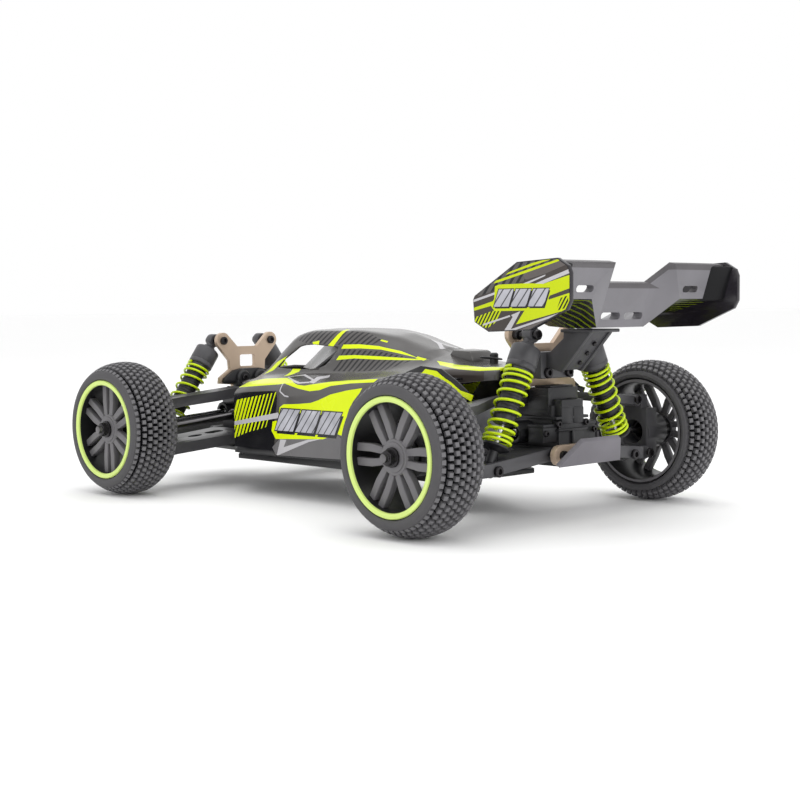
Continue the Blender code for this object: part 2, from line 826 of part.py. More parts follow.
def make_lower_arm(end, corner):
    pin = arm_frame(corner, "low_in")
    pocket_u = corner["shock_low"][0] - pin.x
    dy = corner["shock_dy"]
    y = pin.y
    half = 22.0 if end == "front" else 20.0
    back = math.copysign(1.0, dy)
    edge = abs(dy) + 7.6
    outline = [
        (2.0, -back * half),
        (26.0, -back * (half - 5)),
        (54.0, -back * 12.6),
        (60.4, -back * 12.6),
        (60.4, -back * 8.0),
        (56.0, -back * 8.0),
        (56.0, back * 8.0),
        (60.4, back * 8.0),
        (60.4, back * 12.6),
        (pocket_u + 7.0, back * edge),
        (pocket_u - 8.0, back * edge),
        (2.0, back * half),
    ]
    outline = [(pin.x + u, y + v) for u, v in outline]
    pocket = [sorted((y + dy - 4.3, y + dy + 4.3)), (pin.x + pocket_u - 6.6, pin.x + pocket_u + 6.2)]
    hole = rounded_box((pocket[1][0], pocket[0][0]), (pocket[1][1], pocket[0][1]), 1.2)
    light = []
    for u0, u1, v in ((7.0, 20.0, 4.6), (24.0, 34.0, 3.6)):
        light.append(
            rounded_box((pin.x + u0, y - v - 3.6), (pin.x + u1, y + v - 3.6), 2.4)
        )
    thick = 3.4
    shapes = [slab([outline, hole] + light, pin.z - thick, pin.z + thick, "XY")]
    shapes.append(rod((pin.x, y - half, pin.z), (pin.x, y + half, pin.z), 3.9))
    end_x = pin.x + ARM_LENGTH
    for side in (1, -1):
        shapes.append(
            rod((end_x, y + side * 8.0, pin.z), (end_x, y + side * 12.6, pin.z), 3.9)
        )
    shapes.append(rod((end_x, y - 12.0, pin.z), (end_x, y + 12.0, pin.z), PIN_R))
    cuts = [rod((pin.x, y - half - 1, pin.z), (pin.x, y + half + 1, pin.z), PIN_BORE_R)]
    tilted(shapes + cuts, pin, ARM_DROOP)
    low_x, low_z = corner["shock_low"]
    shapes.append(
        rod((low_x, y + dy - 5.6, low_z), (low_x, y + dy + 5.6, low_z), PIN_R)
    )
    both(end, "lower_arm", shapes, "black_nylon", cuts, pin)


def make_upper_arm(end, corner):
    pin = arm_frame(corner, "up_in")
    y = pin.y
    low, high = corner["up_span"]
    thick = 3.2 if end == "front" else 2.4
    wide = 6.8
    outline = [
        (2.0, low),
        (40.0, -wide),
        (60.0, -wide),
        (60.0, -4.2),
        (56.5, -4.2),
        (56.5, 4.2),
        (60.0, 4.2),
        (60.0, wide),
        (44.0, wide),
        (20.0, high),
        (2.0, high),
    ]
    outline = [(pin.x + u, y + v) for u, v in outline]
    shapes = [slab([outline], pin.z - thick, pin.z + thick, "XY")]
    shapes.append(rod((pin.x, y + low, pin.z), (pin.x, y + high, pin.z), 3.6))
    end_x = pin.x + ARM_LENGTH
    for side in (1, -1):
        shapes.append(
            rod((end_x, y + side * 4.2, pin.z), (end_x, y + side * wide, pin.z), 3.5)
        )
    shapes.append(rod((end_x, y - 6.0, pin.z), (end_x, y + 6.0, pin.z), PIN_R))
    cuts = [rod((pin.x, y + low - 1, pin.z), (pin.x, y + high + 1, pin.z), PIN_BORE_R)]
    tilted(shapes + cuts, pin, ARM_DROOP)
    both(end, "upper_arm", shapes, "black_nylon", cuts, pin)


def hub_lugs(corner):
    """The two eyes of a hub that sit on the outer pins of its arms, and their bores."""
    y = corner["axle_y"]
    shapes = []
    cuts = []
    for which, half in (("low_in", 7.5), ("up_in", 3.8)):
        eye = arm_frame(corner, which) + ARM_REACH
        shapes.append(rod((eye.x, y - half, eye.z), (eye.x, y + half, eye.z), 3.6))
        shapes.append(
            block((eye.x, 84.0), (y - half, y + half), (eye.z - 3.0, eye.z + 3.0))
        )
        cuts.append(
            rod((eye.x, y - half - 1, eye.z), (eye.x, y + half + 1, eye.z), PIN_BORE_R)
        )
    return shapes, cuts


def make_front_hub(corner):
    """The caster block, with the kingpins that the knuckle turns on."""
    y = corner["axle_y"]
    lugs, cuts = hub_lugs(corner)
    shapes = [
        block((79.0, 83.0), (y - 7.5, y + 7.5), (24.0, 50.8)),
        block((79.6, 83.0), (y - 3.6, y + 3.6), (50.0, 57.4)),
        block((82.0, 88.0), (y - 3.6, y + 3.6), (51.8, 57.4)),
    ]
    shapes += lugs
    for low, high, start in ((29.0, 32.0, 80.0), (51.7, 54.6, 83.6)):
        shapes.append(block((start, KINGPIN_X), (y - 6.4, y + 6.4), (low, high)))
        shapes.append(rod((KINGPIN_X, y, low), (KINGPIN_X, y, high), 6.4, 14))
    shapes.append(rod((KINGPIN_X, y, 30.0), (KINGPIN_X, y, 34.2), PIN_R))
    shapes.append(rod((KINGPIN_X, y, 49.6), (KINGPIN_X, y, 53.0), PIN_R))
    cuts.append(block((76.0, 86.0), (y - 3.3, y + 3.3), (37.4, 49.2)))
    both("front", "hub", shapes, "black_nylon", cuts, (78.0, y, 26.1))


def axle_bores(y, inner_x):
    """Room for the axle's drive cup and shaft in a knuckle or hub carrier."""
    return [
        rod((inner_x, y, AXLE_Z), (97.6, y, AXLE_Z), 7.2, 14),
        rod((95.0, y, AXLE_Z), (106.0, y, AXLE_Z), 4.2),
    ]


def make_knuckle(corner):
    y = corner["axle_y"]
    shapes = [
        rod((KINGPIN_X, y, 32.5), (KINGPIN_X, y, 51.2), 9.2, 18),
        rod((KINGPIN_X, y, AXLE_Z), (101.6, y, AXLE_Z), 9.0, 14),
        block(
            (KINGPIN_X - 3.6, KINGPIN_X + 3.6),
            (y + 5.0, y + STEER_RADIUS),
            (33.2, 36.2),
        ),
        rod(
            (KINGPIN_X, y + STEER_RADIUS, 33.2),
            (KINGPIN_X, y + STEER_RADIUS, 36.2),
            3.6,
        ),
        rod(
            (KINGPIN_X, y + STEER_RADIUS, 35.0),
            (KINGPIN_X, y + STEER_RADIUS, 43.6),
            PIN_R,
        ),
    ]
    cuts = axle_bores(y, 80.0)
    cuts.append(rod((KINGPIN_X, y, 30.0), (KINGPIN_X, y, 56.0), PIN_BORE_R))
    both("front", "knuckle", shapes, "black_nylon", cuts, (KINGPIN_X, y, AXLE_Z))


def make_rear_hub(corner):
    y = corner["axle_y"]
    lugs, cuts = hub_lugs(corner)
    shapes = [
        rod((83.4, y, AXLE_Z), (101.6, y, AXLE_Z), 11.0, 18),
        block((82.2, 92.0), (y - 10.0, y + 10.0), (28.0, 56.0)),
        block((82.2, 88.0), (y - 6.0, y + 6.0), (54.0, 64.0)),
    ]
    shapes += lugs
    cuts += axle_bores(y, 76.0)
    both("rear", "hub", shapes, "black_nylon", cuts, (78.0, y, 30.6))


def make_driveshaft(end, corner):
    y = corner["axle_y"]
    inner = (DRIVE_INNER[0], y, DRIVE_INNER[1])
    outer = (KINGPIN_X, y, AXLE_Z)
    shapes = [rod(inner, outer, 1.8), ball(inner, 2.8), ball(outer, 2.8)]
    both(end, "driveshaft", shapes, "steel", (), inner)


def make_tie_rod(corner):
    y = corner["axle_y"] + STEER_RADIUS
    inner = Vector((TIE_INNER_X, y, TIE_INNER_Z))
    outer = Vector((KINGPIN_X, y, STEER_PIN_Z))
    way = (outer - inner).normalized()
    across = Vector((-way.z, 0.0, way.x))
    shapes = [
        rod(inner + way * 2, outer - way * 3.6, 2.6),
        rod(inner - Vector((0, 2.2, 0)), inner + Vector((0, 2.2, 0)), 4.0),
        rod(outer - across * 2.0, outer + across * 2.0, 4.6, 14),
    ]
    cuts = [
        rod(inner - Vector((0, 4, 0)), inner + Vector((0, 4, 0)), PIN_BORE_R + 0.1),
        rod(outer - across * 4.0, outer + across * 4.0, OPEN_BORE_R, 14),
    ]
    both("front", "tie_rod", shapes, "black_nylon", cuts, inner)


def make_shock(end, corner):
    """The three pieces of a shock absorber, along the line from its top eye down."""
    y = corner["axle_y"] + corner["shock_dy"]
    top = Vector((corner["shock_top"][0], y, corner["shock_top"][1]))
    low = Vector((corner["shock_low"][0], y, corner["shock_low"][1]))
    length = (low - top).length
    way = (low - top) / length
    side = Vector((0.0, 1.0, 0.0))

    def at(s):
        return top + way * s

    seat = length - 13.6
    mouth = seat - 12.4
    barrel = [
        (2.1, mouth),
        (2.1, 22.0),
        (0.0, 22.0),
        (0.0, 5.0),
        (4.4, 5.6),
        (5.2, 7.0),
        (8.0, 8.0),
        (8.0, 20.0),
        (6.1, 20.2),
        (6.1, mouth - 0.8),
        (5.2, mouth),
    ]
    shapes = [
        turned(barrel, top, low, 12),
        rod(top - side * 3.0, top + side * 3.0, 4.2),
        rod(at(2.0), at(6.5), 3.0),
    ]
    cuts = [rod(top - side * 5, top + side * 5, 2.2)]
    both(end, "shock_body", shapes, "black_nylon", cuts, top)
    shapes = [
        rod(at(34.0), at(seat + 1.0), 1.5),
        turned(
            [(0.0, seat), (8.0, seat), (8.0, seat + 1.4), (3.2, seat + 3.4), (0.0, seat + 3.4)],
            top,
            low,
            12,
        ),
        rod(at(seat + 2.0), at(length - 3.0), 2.8),
        rod(low - side * 3.0, low + side * 3.0, 4.6, 14),
    ]
    cuts = [rod(low - side * 5, low + side * 5, OPEN_BORE_R, 14)]
    both(end, "shock_rod", shapes, "steel", cuts, at(seat))
    wire = 0.75
    shapes = [coil(at(20.4 + wire + 0.3), at(seat - wire - 0.4), 7.55, wire, corner["turns"])]
    both(end, "spring", shapes, "neon_spring", (), at(20.4))


def make_axle(end, corner):
    y = corner["axle_y"]
    centre = (KINGPIN_X, y, AXLE_Z)
    shapes = [
        rod((89.6, y, AXLE_Z), (97.0, y, AXLE_Z), 6.2, 14),
        rod((96.0, y, AXLE_Z), (104.0, y, AXLE_Z), 3.5),
        rod((103.0, y, AXLE_Z), (106.4, y, AXLE_Z), 6.8, 6),
        rod((105.0, y, AXLE_Z), (AXLE_TIP_X, y, AXLE_Z), 2.3),
        rod((114.3, y, AXLE_Z), (115.6, y, AXLE_Z), 5.2, 14),
        rod((115.0, y, AXLE_Z), (118.8, y, AXLE_Z), 4.2, 6),
    ]
    cuts = [rod((86.0, y, AXLE_Z), (96.0, y, AXLE_Z), 4.8)]
    both(end, "axle", shapes, "steel", cuts, centre)


def make_rim(end, corner):
    """A turned barrel, and a face with six pairs of spokes."""
    y = corner["axle_y"]
    start = (0, y, AXLE_Z)
    barrel = [
        (RIM_IN_R, 86.6),
        (RIM_R, 86.6),
        (RIM_R, 117.8),
        (RIM_IN_R, 117.8),
    ]
    face = [arc((y, AXLE_Z), RIM_IN_R + 1.2, 0, 345, 23)]
    for i in range(6):
        middle = 60.0 * i + (30.0 if end == "front" else 0.0)
        face.append(
            arc((y, AXLE_Z), 25.8, middle + 20, middle + 40, 1)
            + arc((y, AXLE_Z), 9.0, middle + 36, middle + 24, 1)
        )
        face.append(
            arc((y, AXLE_Z), 25.0, middle - 4, middle + 4, 1)
            + arc((y, AXLE_Z), 11.0, middle + 5, middle - 5, 1)
        )
    shapes = [
        turned(barrel, start, (1, y, AXLE_Z)),
        slab(face, 108.6, 112.6, "YZ"),
        rod((106.8, y, AXLE_Z), (113.9, y, AXLE_Z), 7.6, 14),
    ]
    cuts = [rod((104.0, y, AXLE_Z), (116.0, y, AXLE_Z), 2.9)]
    both(end, "rim", shapes, "rim_plastic", cuts, (KINGPIN_X, y, AXLE_Z))


def make_tyre(end, corner):
    y = corner["axle_y"]
    bead = RIM_R + GAP
    profile = [
        (bead, 87.4),
        (33.6, WHEEL_IN_X),
        (37.0, 86.8),
        (39.8, 90.4),
        (41.5, 95.0),
        (TYRE_R, 100.0),
        (41.6, 105.0),
        (40.6, 109.6),
        (38.8, 113.6),
        (36.6, 116.8),
        (34.2, WHEEL_OUT_X),
        (bead, 117.6),
    ]
    shapes = [turned(profile, (0, y, AXLE_Z), (1, y, AXLE_Z), 24)]
    both(end, "tyre", shapes, "rubber", (), (KINGPIN_X, y, AXLE_Z))


def main():
    make_chassis()
    make_front_bumper()
    make_front_gearbox()
    make_rear_gearbox()
    make_front_tower()
    make_rear_tower()
    make_wing_mount()
    make_rear_wing()
    make_rear_bumper()
    make_body()
    make_inside()
    make_steering()
    make_front_hub(CORNERS["front"])
    make_knuckle(CORNERS["front"])
    make_tie_rod(CORNERS["front"])
    make_rear_hub(CORNERS["rear"])
    for end, corner in CORNERS.items():
        make_lower_arm(end, corner)
        make_upper_arm(end, corner)
        make_driveshaft(end, corner)
        make_shock(end, corner)
        make_axle(end, corner)
        make_rim(end, corner)
        make_tyre(end, corner)


clear_scene()
PARTS = collection("rc_buggy")
HELPERS = collection("cutters")
main()
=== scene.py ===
"""The looks of the radio-controlled buggy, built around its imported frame.

Shapes are modelled in millimetres in the car's own frame: the nose points to -Y,
the car's left side is +X and the tyres stand on Z = 0.
"""

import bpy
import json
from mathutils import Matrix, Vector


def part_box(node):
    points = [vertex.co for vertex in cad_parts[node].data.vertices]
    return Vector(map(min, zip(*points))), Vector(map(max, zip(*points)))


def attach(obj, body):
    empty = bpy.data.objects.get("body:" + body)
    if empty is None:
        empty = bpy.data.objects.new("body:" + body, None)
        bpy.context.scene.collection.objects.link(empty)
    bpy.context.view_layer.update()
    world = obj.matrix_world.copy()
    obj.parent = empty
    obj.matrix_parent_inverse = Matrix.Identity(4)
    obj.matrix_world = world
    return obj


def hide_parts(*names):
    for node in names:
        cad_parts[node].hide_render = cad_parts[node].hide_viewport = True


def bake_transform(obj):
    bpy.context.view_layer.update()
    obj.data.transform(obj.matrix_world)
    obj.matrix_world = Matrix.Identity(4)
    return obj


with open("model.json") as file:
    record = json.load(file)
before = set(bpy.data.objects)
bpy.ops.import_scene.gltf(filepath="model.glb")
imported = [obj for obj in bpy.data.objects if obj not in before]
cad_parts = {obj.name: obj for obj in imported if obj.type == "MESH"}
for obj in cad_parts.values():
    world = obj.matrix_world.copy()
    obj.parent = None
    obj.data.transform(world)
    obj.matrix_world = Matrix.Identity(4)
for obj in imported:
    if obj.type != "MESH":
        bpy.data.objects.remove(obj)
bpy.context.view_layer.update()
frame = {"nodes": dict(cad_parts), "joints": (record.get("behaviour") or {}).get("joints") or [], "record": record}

import json
import math

import bmesh
import bpy
from mathutils import Matrix, Vector

MM = 0.001
JOINTS = {joint["name"]: joint for joint in frame["joints"]}
BODY_OF = {node: body for body, nodes in frame["record"]["behaviour"]["bodies"].items() for node in nodes}
SHOWN = set()  # CAD nodes that already have their looks
SIDES = {"left": 1, "right": -1}


# ---- camera


def make_camera():
    """The photograph's view: from behind the left rear wheel, low above the floor."""
    azimuth, elevation, roll = (math.radians(a) for a in (135.501, 3.694, -0.514))
    back = Vector(
        (
            math.sin(azimuth) * math.cos(elevation),
            -math.cos(azimuth) * math.cos(elevation),
            math.sin(elevation),
        )
    )
    right = (-back).cross(Vector((0, 0, 1))).normalized()
    up = right.cross(-back)
    turned_right = math.cos(roll) * right + math.sin(roll) * up
    turned_up = -math.sin(roll) * right + math.cos(roll) * up
    camera = bpy.data.objects.new("camera", bpy.data.cameras.new("camera"))
    bpy.context.scene.collection.objects.link(camera)
    camera.data.sensor_width = 36.0
    camera.data.lens = 64.33
    camera.data.shift_x = -0.029
    camera.data.shift_y = 0.0006
    camera.data.clip_start = 0.02
    place = Matrix((turned_right, turned_up, back)).transposed().to_4x4()
    place.translation = Vector((0.6007, 0.6372, 0.1162))
    camera.matrix_world = place
    bpy.context.scene.camera = camera


# ---- materials


class Nodes:
    """A material's node tree, with short calls for the nodes used here."""

    def __init__(self, name):
        self.material = bpy.data.materials.new(name)
        self.material.use_nodes = True
        self.tree = self.material.node_tree
        self.shader = self.tree.nodes["Principled BSDF"]
        coordinates = self.tree.nodes.new("ShaderNodeTexCoord")
        self.place = coordinates.outputs["Object"]

    def link(self, source, target):
        self.tree.links.new(source, target)

    def math(self, operation, a, b=0.0):
        node = self.tree.nodes.new("ShaderNodeMath")
        node.operation = operation
        for socket, value in zip(node.inputs, (a, b)):
            if isinstance(value, (int, float)):
                socket.default_value = value
            else:
                self.link(value, socket)
        return node.outputs[0]

    def noise(self, scale, detail=3.0):
        node = self.tree.nodes.new("ShaderNodeTexNoise")
        node.inputs["Scale"].default_value = scale
        node.inputs["Detail"].default_value = detail
        self.link(self.place, node.inputs["Vector"])
        return node.outputs["Fac"]

    def spread(self, value, low, high, start=0.3, end=0.7, smooth=False):
        node = self.tree.nodes.new("ShaderNodeMapRange")
        node.interpolation_type = "SMOOTHSTEP" if smooth else "LINEAR"
        self.link(value, node.inputs["Value"])
        for name, number in (("From Min", start), ("From Max", end), ("To Min", low), ("To Max", high)):
            node.inputs[name].default_value = number
        return node.outputs["Result"]

    def mix(self, share, a, b):
        node = self.tree.nodes.new("ShaderNodeMix")
        node.data_type = "RGBA"
        self.link(share, node.inputs["Factor"])
        for socket, value in ((node.inputs[6], a), (node.inputs[7], b)):
            if isinstance(value, tuple):
                socket.default_value = (*value, 1.0)
            else:
                self.link(value, socket)
        return node.outputs[2]

    def bump(self, height, strength, distance):
        node = self.tree.nodes.new("ShaderNodeBump")
        node.inputs["Strength"].default_value = strength
        node.inputs["Distance"].default_value = distance
        self.link(height, node.inputs["Height"])
        self.link(node.outputs["Normal"], self.shader.inputs["Normal"])

    def across(self, angle_deg):
        """Distance in metres across stripes that lean back by this angle."""
        parts = self.tree.nodes.new("ShaderNodeSeparateXYZ")
        self.link(self.place, parts.inputs[0])
        angle = math.radians(angle_deg)
        y = self.math("MULTIPLY", parts.outputs["Y"], math.cos(angle))
        z = self.math("MULTIPLY", parts.outputs["Z"], -math.sin(angle))
        return self.math("ADD", y, z)

    def stripes(self, angle_deg, pitch, share, soft=0.06):
        """1 on the stripes and 0 between them; pitch is in millimetres."""
        turns = self.math("DIVIDE", self.across(angle_deg), pitch * MM)
        saw = self.math("FRACT", turns)
        peak = self.math("ABSOLUTE", self.math("SUBTRACT", saw, 0.5))
        return self.spread(peak, 1.0, 0.0, (share - soft) / 2, (share + soft) / 2, True)


def lighter(colour, by):
    return tuple(min(c * by, 1.0) for c in colour)


def surface(
    name, colour, rough, metallic=0.0, vary=0.1, patch=45.0, grain=0.2, grain_scale=1500.0, shine=0.4,
    stripes=None,
):
    """A finish whose colour, gloss and relief all change a little over the surface."""
    made = Nodes(name)
    patches = made.noise(patch)
    shade = made.mix(made.spread(patches, 0.0, 1.0), lighter(colour, 1 - vary), lighter(colour, 1 + vary))
    if stripes:
        other, angle, pitch, share = stripes
        shade = made.mix(made.stripes(angle, pitch, share), shade, other)
    made.link(shade, made.shader.inputs["Base Color"])
    made.link(made.spread(patches, rough * 0.88, min(rough * 1.14, 1.0)), made.shader.inputs["Roughness"])
    made.bump(made.noise(grain_scale, 2.0), grain, 0.0001)
    made.shader.inputs["Metallic"].default_value = metallic
    made.shader.inputs["Specular IOR Level"].default_value = shine
    return made.material


NEON = (0.70, 0.84, 0.001)
SMOKE = (0.07, 0.066, 0.064)
INK = (0.008, 0.008, 0.01)
PRINT = lighter(NEON, 0.76)
HATCH_GAP = (0.02, 0.025, 0.01)

FINISH = {
    "black": surface("black_nylon", (0.012, 0.012, 0.014), 0.4, grain=0.35, shine=0.45),
    "satin": surface("satin_nylon", (0.058, 0.057, 0.062), 0.42, grain=0.35, shine=0.5),
    "grey": surface("grey_nylon", (0.16, 0.152, 0.17), 0.5, grain=0.4),
    "blade": surface("wing_nylon", (0.165, 0.16, 0.174), 0.4, grain=0.3),
    # The darker lip finish is also painted shade on the inward-facing faces at the blade's outer ends.
    "lip": surface("wing_lip_and_shade", (0.085, 0.08, 0.085), 0.4, grain=0.3),
    "gloss": surface("gloss_black", (0.01, 0.008, 0.012), 0.16, grain=0.05, shine=0.5),
    "rubber": surface("tyre_rubber", (0.068, 0.066, 0.07), 0.6, grain=0.6, patch=120.0),
    "stud": surface("tyre_studs", (0.125, 0.122, 0.129), 0.5, grain=0.6, patch=160.0),
    # Painted shade: the tread band between the studs is the tyre's own rubber, painted near-black for the shade in
    # the gaps.
    "groove_shade": surface("tyre_tread_shade", (0.004, 0.004, 0.005), 0.9, grain=0.4, shine=0.1),
    "rim": surface("rim_plastic", (0.14, 0.135, 0.143), 0.45, grain=0.3),
    "barrel": surface("rim_inside", (0.009, 0.009, 0.01), 0.35, grain=0.3),
    "ring": surface("rim_ring", (0.62, 0.78, 0.21), 0.35, vary=0.03, grain=0.1),
    "spring": surface("spring_enamel", (0.6, 0.78, 0.003), 0.25, vary=0.05, grain=0.1),
    "bronze": surface("bronze_plate", (0.52, 0.4, 0.3), 0.38, metallic=0.4, vary=0.07, grain=0.5),
    "steel": surface("steel", (0.55, 0.55, 0.56), 0.25, metallic=1.0, vary=0.06),
    "dark_steel": surface("dark_steel", (0.16, 0.155, 0.16), 0.3, metallic=1.0, vary=0.1),
    "screw": surface("black_screw", (0.03, 0.028, 0.03), 0.26, metallic=0.7),
    "can": surface("motor_can", (0.33, 0.33, 0.35), 0.3, metallic=0.9),
    "wrap": surface("battery_wrap", (0.05, 0.07, 0.14), 0.35, grain=0.6, grain_scale=500.0),
    "smoke": surface("shell_smoke", SMOKE, 0.22, vary=0.12, grain=0.06, shine=0.55),
    "neon": surface("shell_neon", NEON, 0.25, vary=0.02, grain=0.05, shine=0.25),
    "ink": surface("shell_black", INK, 0.22, grain=0.05),
    "pale": surface("shell_pale", (0.5, 0.49, 0.51), 0.25, vary=0.04, grain=0.05, shine=0.2),
    "silver": surface(
        "shell_silver", (0.42, 0.42, 0.46), 0.25, vary=0.25, patch=60.0, grain=0.05, shine=0.2,
        stripes=((0.06, 0.06, 0.065), 40, 4.2, 0.16),
    ),
    "panel": surface("shell_grey", (0.13, 0.126, 0.13), 0.25, vary=0.2, patch=14.0),
    "brown": surface("shell_brown", (0.045, 0.036, 0.032), 0.25),
    "slats": surface("shell_slats", (0.085, 0.079, 0.077), 0.24, stripes=(INK, 38, 3.6, 0.42)),
    "mesh": surface("shell_mesh", NEON, 0.25, vary=0.02, shine=0.2, stripes=(HATCH_GAP, 34, 1.25, 0.38)),
    "under": surface("wing_underside", INK, 0.2, stripes=((0.12, 0.16, 0.002), -35, 4.4, 0.3)),
    # Painted shade: near-black for the gusset beside each end plate, where the blade's end lies in shade.
    "gusset_shade": surface("painted_shade_black", (0.006, 0.006, 0.007), 0.5, grain=0.2, shine=0.2),
    "print": surface("wing_neon", PRINT, 0.25, vary=0.02, grain=0.05, shine=0.25),
    "taupe": surface("wing_taupe", (0.11, 0.095, 0.09), 0.25, vary=0.12, patch=20.0),
    "hatch": surface("wing_hatch", PRINT, 0.25, vary=0.02, shine=0.2, stripes=(HATCH_GAP, 34, 1.9, 0.5)),
    "bulkhead": surface("shell_bulkhead", (0.135, 0.132, 0.135), 0.28, vary=0.08),
}


# ---- shapes


def join(shapes):
    """One bmesh from several, which are used up."""
    joined = bmesh.new()
    for shape in shapes:
        held = bpy.data.meshes.new("held")
        shape.to_mesh(held)
        shape.free()
        joined.from_mesh(held)
        bpy.data.meshes.remove(held)
    return joined


def combine(shapes):
    """One bmesh from (bmesh, material number) pairs."""
    for shape, number in shapes:
        for face in shape.faces:
            face.material_index = number
    return join([shape for shape, _ in shapes])


def outward(bm):
    bmesh.ops.recalc_face_normals(bm, faces=bm.faces)
    return bm


def skin(bm, rings, caps=(), closed=False):
    """Faces between each ring of corners and the next, and across each cap."""
    pairs = list(zip(rings, rings[1:]))
    if closed:
        pairs.append((rings[-1], rings[0]))
    for low, high in pairs:
        for i in range(len(low)):
            j = (i + 1) % len(low)
            corners = list(dict.fromkeys((low[i], low[j], high[j], high[i])))
            if len(corners) > 2:
                bm.faces.new(corners)
    for cap in caps:
        bm.faces.new(cap)


def thicken(bm, step):
    """Turns a sheet into a slab that reaches one step further."""
    raised = bmesh.ops.extrude_face_region(bm, geom=bm.faces[:])
    moved = [g for g in raised["geom"] if isinstance(g, bmesh.types.BMVert)]
    bmesh.ops.translate(bm, vec=step, verts=moved)


def present(name, bm, finishes, body, replaces=(), smooth=35.0):
    """Shows a bmesh in millimetres as a piece that rides on a body."""
    bmesh.ops.scale(bm, vec=(MM, MM, MM), verts=bm.verts)
    mesh = bpy.data.meshes.new(name)
    bm.to_mesh(mesh)
    bm.free()
    for finish in finishes:
        mesh.materials.append(FINISH[finish])
    mesh.shade_smooth()
    mesh.set_sharp_from_angle(angle=math.radians(smooth))
    made = bpy.data.objects.new(name, mesh)
    bpy.context.scene.collection.objects.link(made)
    if body:
        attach(made, body)
    if replaces:
        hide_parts(*replaces)
        SHOWN.update(replaces)
    return made


def soften(bm, chamfer, least_deg=25.0):
    """Rounds the edges between faces that meet at more than least_deg."""
    outward(bm)
    edges = [
        e
        for e in bm.edges
        if len(e.link_faces) == 2 and e.calc_face_angle(0) > math.radians(least_deg)
    ]
    if chamfer and edges:
        bmesh.ops.bevel(
            bm, geom=edges, offset=chamfer, segments=2, profile=0.5, affect="EDGES", clamp_overlap=True,
        )
    return bm


def prism(outline, low, high, plane="XY", chamfer=0.4):
    """An outline extruded along the axis that is not in its plane."""
    order = {"XY": (0, 1, 2), "XZ": (0, 2, 1), "YZ": (1, 2, 0)}[plane]
    bm = bmesh.new()
    rings = []
    for height in (low, high):
        ring = []
        for a, b in outline:
            point = [0.0, 0.0, 0.0]
            for axis, value in zip(order, (a, b, height)):
                point[axis] = value
            ring.append(bm.verts.new(point))
        rings.append(ring)
    skin(bm, rings, rings)
    return soften(bm, chamfer)


def plate(outline, low, high, plane, hole=None, chamfer=0.35):
    """A sheet cut to an outline, with a hole through it."""
    axes = {"XZ": (0, 2), "YZ": (1, 2)}[plane]
    bm = bmesh.new()
    corners = []
    for a, b in outline:
        point = [low, low, low]
        point[axes[0]], point[axes[1]] = a, b
        corners.append(bm.verts.new(point))
    bm.faces.new(corners)
    if hole:
        bmesh.ops.delete(bm, geom=mark_out(bm, hole, axes), context="FACES")
        bmesh.ops.dissolve_limit(bm, angle_limit=0.01, verts=bm.verts, edges=bm.edges)
    step = Vector((0, high - low, 0)) if plane == "XZ" else Vector((high - low, 0, 0))
    thicken(bm, step)
    return soften(bm, chamfer)


def arc(centre, radius, start_deg, end_deg, steps):
    points = []
    for i in range(steps + 1):
        angle = math.radians(start_deg + (end_deg - start_deg) * i / steps)
        points.append((centre[0] + radius * math.cos(angle), centre[1] + radius * math.sin(angle)))
    return points


def both_halves(half):
    """A closed outline from its right half, listed from the top down."""
    return half + [(-x, z) for x, z in reversed(half) if abs(x) > 1e-6]


def block(x, y, z, chamfer=0.4):
    corners = [(x[0], y[0]), (x[1], y[0]), (x[1], y[1]), (x[0], y[1])]
    return prism(corners, z[0], z[1], "XY", chamfer)


def facing(start, end):
    """The matrix that takes +Z at the origin to the line from start towards end."""
    start, end = Vector(start), Vector(end)
    turn = (end - start).to_track_quat("Z", "Y").to_matrix().to_4x4()
    return Matrix.Translation(start) @ turn


def turned(profile, start, end, steps=36, closed=False):
    """A (radius, height) profile turned about the line from start towards end."""
    bm = bmesh.new()
    rings = []
    for radius, height in profile:
        if radius < 1e-6:
            rings.append([bm.verts.new((0, 0, height))] * steps)
            continue
        angles = [2 * math.pi * i / steps for i in range(steps)]
        rings.append([bm.verts.new((radius * math.cos(a), radius * math.sin(a), height)) for a in angles])
    skin(bm, rings, closed=closed)
    bm.transform(facing(start, end))
    return outward(bm)


def rod(start, end, radius, steps=24, chamfer=0.3):
    length = (Vector(end) - Vector(start)).length
    profile = [
        (0, 0), (radius - chamfer, 0), (radius, chamfer), (radius, length - chamfer),
        (radius - chamfer, length), (0, length),
    ]
    return turned(profile, start, end, steps)


def tube(points, radius, sides=8, closed=False):
    """A round wire through the points."""
    bm = bmesh.new()
    count = len(points)
    points = [Vector(p) for p in points]
    normal = None
    rings = []
    for i, point in enumerate(points):
        before = points[(i - 1) % count] if closed or i else point
        after = points[(i + 1) % count] if closed or i < count - 1 else point
        way = (after - before).normalized()
        if normal is None:
            normal = way.orthogonal()
        normal = (normal - way * normal.dot(way)).normalized()
        side = way.cross(normal)
        ring = []
        for k in range(sides):
            angle = 2 * math.pi * k / sides
            ring.append(
                bm.verts.new(point + radius * (math.cos(angle) * normal + math.sin(angle) * side))
            )
        rings.append(ring)
    skin(bm, rings, () if closed else (rings[0], rings[-1]), closed)
    return outward(bm)


def screw(at, way, radius=2.6, height=1.8):
    """The head of a socket screw that stands on a point and faces a direction."""
    socket = radius * 0.52
    profile = [
        (0, height * 0.35), (socket * 0.9, height * 0.35), (socket, height), (radius - 0.35, height),
        (radius, height - 0.35), (radius, 0), (0, 0),
    ]
    return turned(profile, at, Vector(at) + Vector(way), 18)


def mirrored(bm):
    """The same shape on the car's other side."""
    copy = bm.copy()
    bmesh.ops.scale(copy, vec=(-1, 1, 1), verts=copy.verts)
    bmesh.ops.reverse_faces(copy, faces=copy.faces)
    return copy


def on_side(bm, side):
    return bm if side == "left" else mirrored(bm)


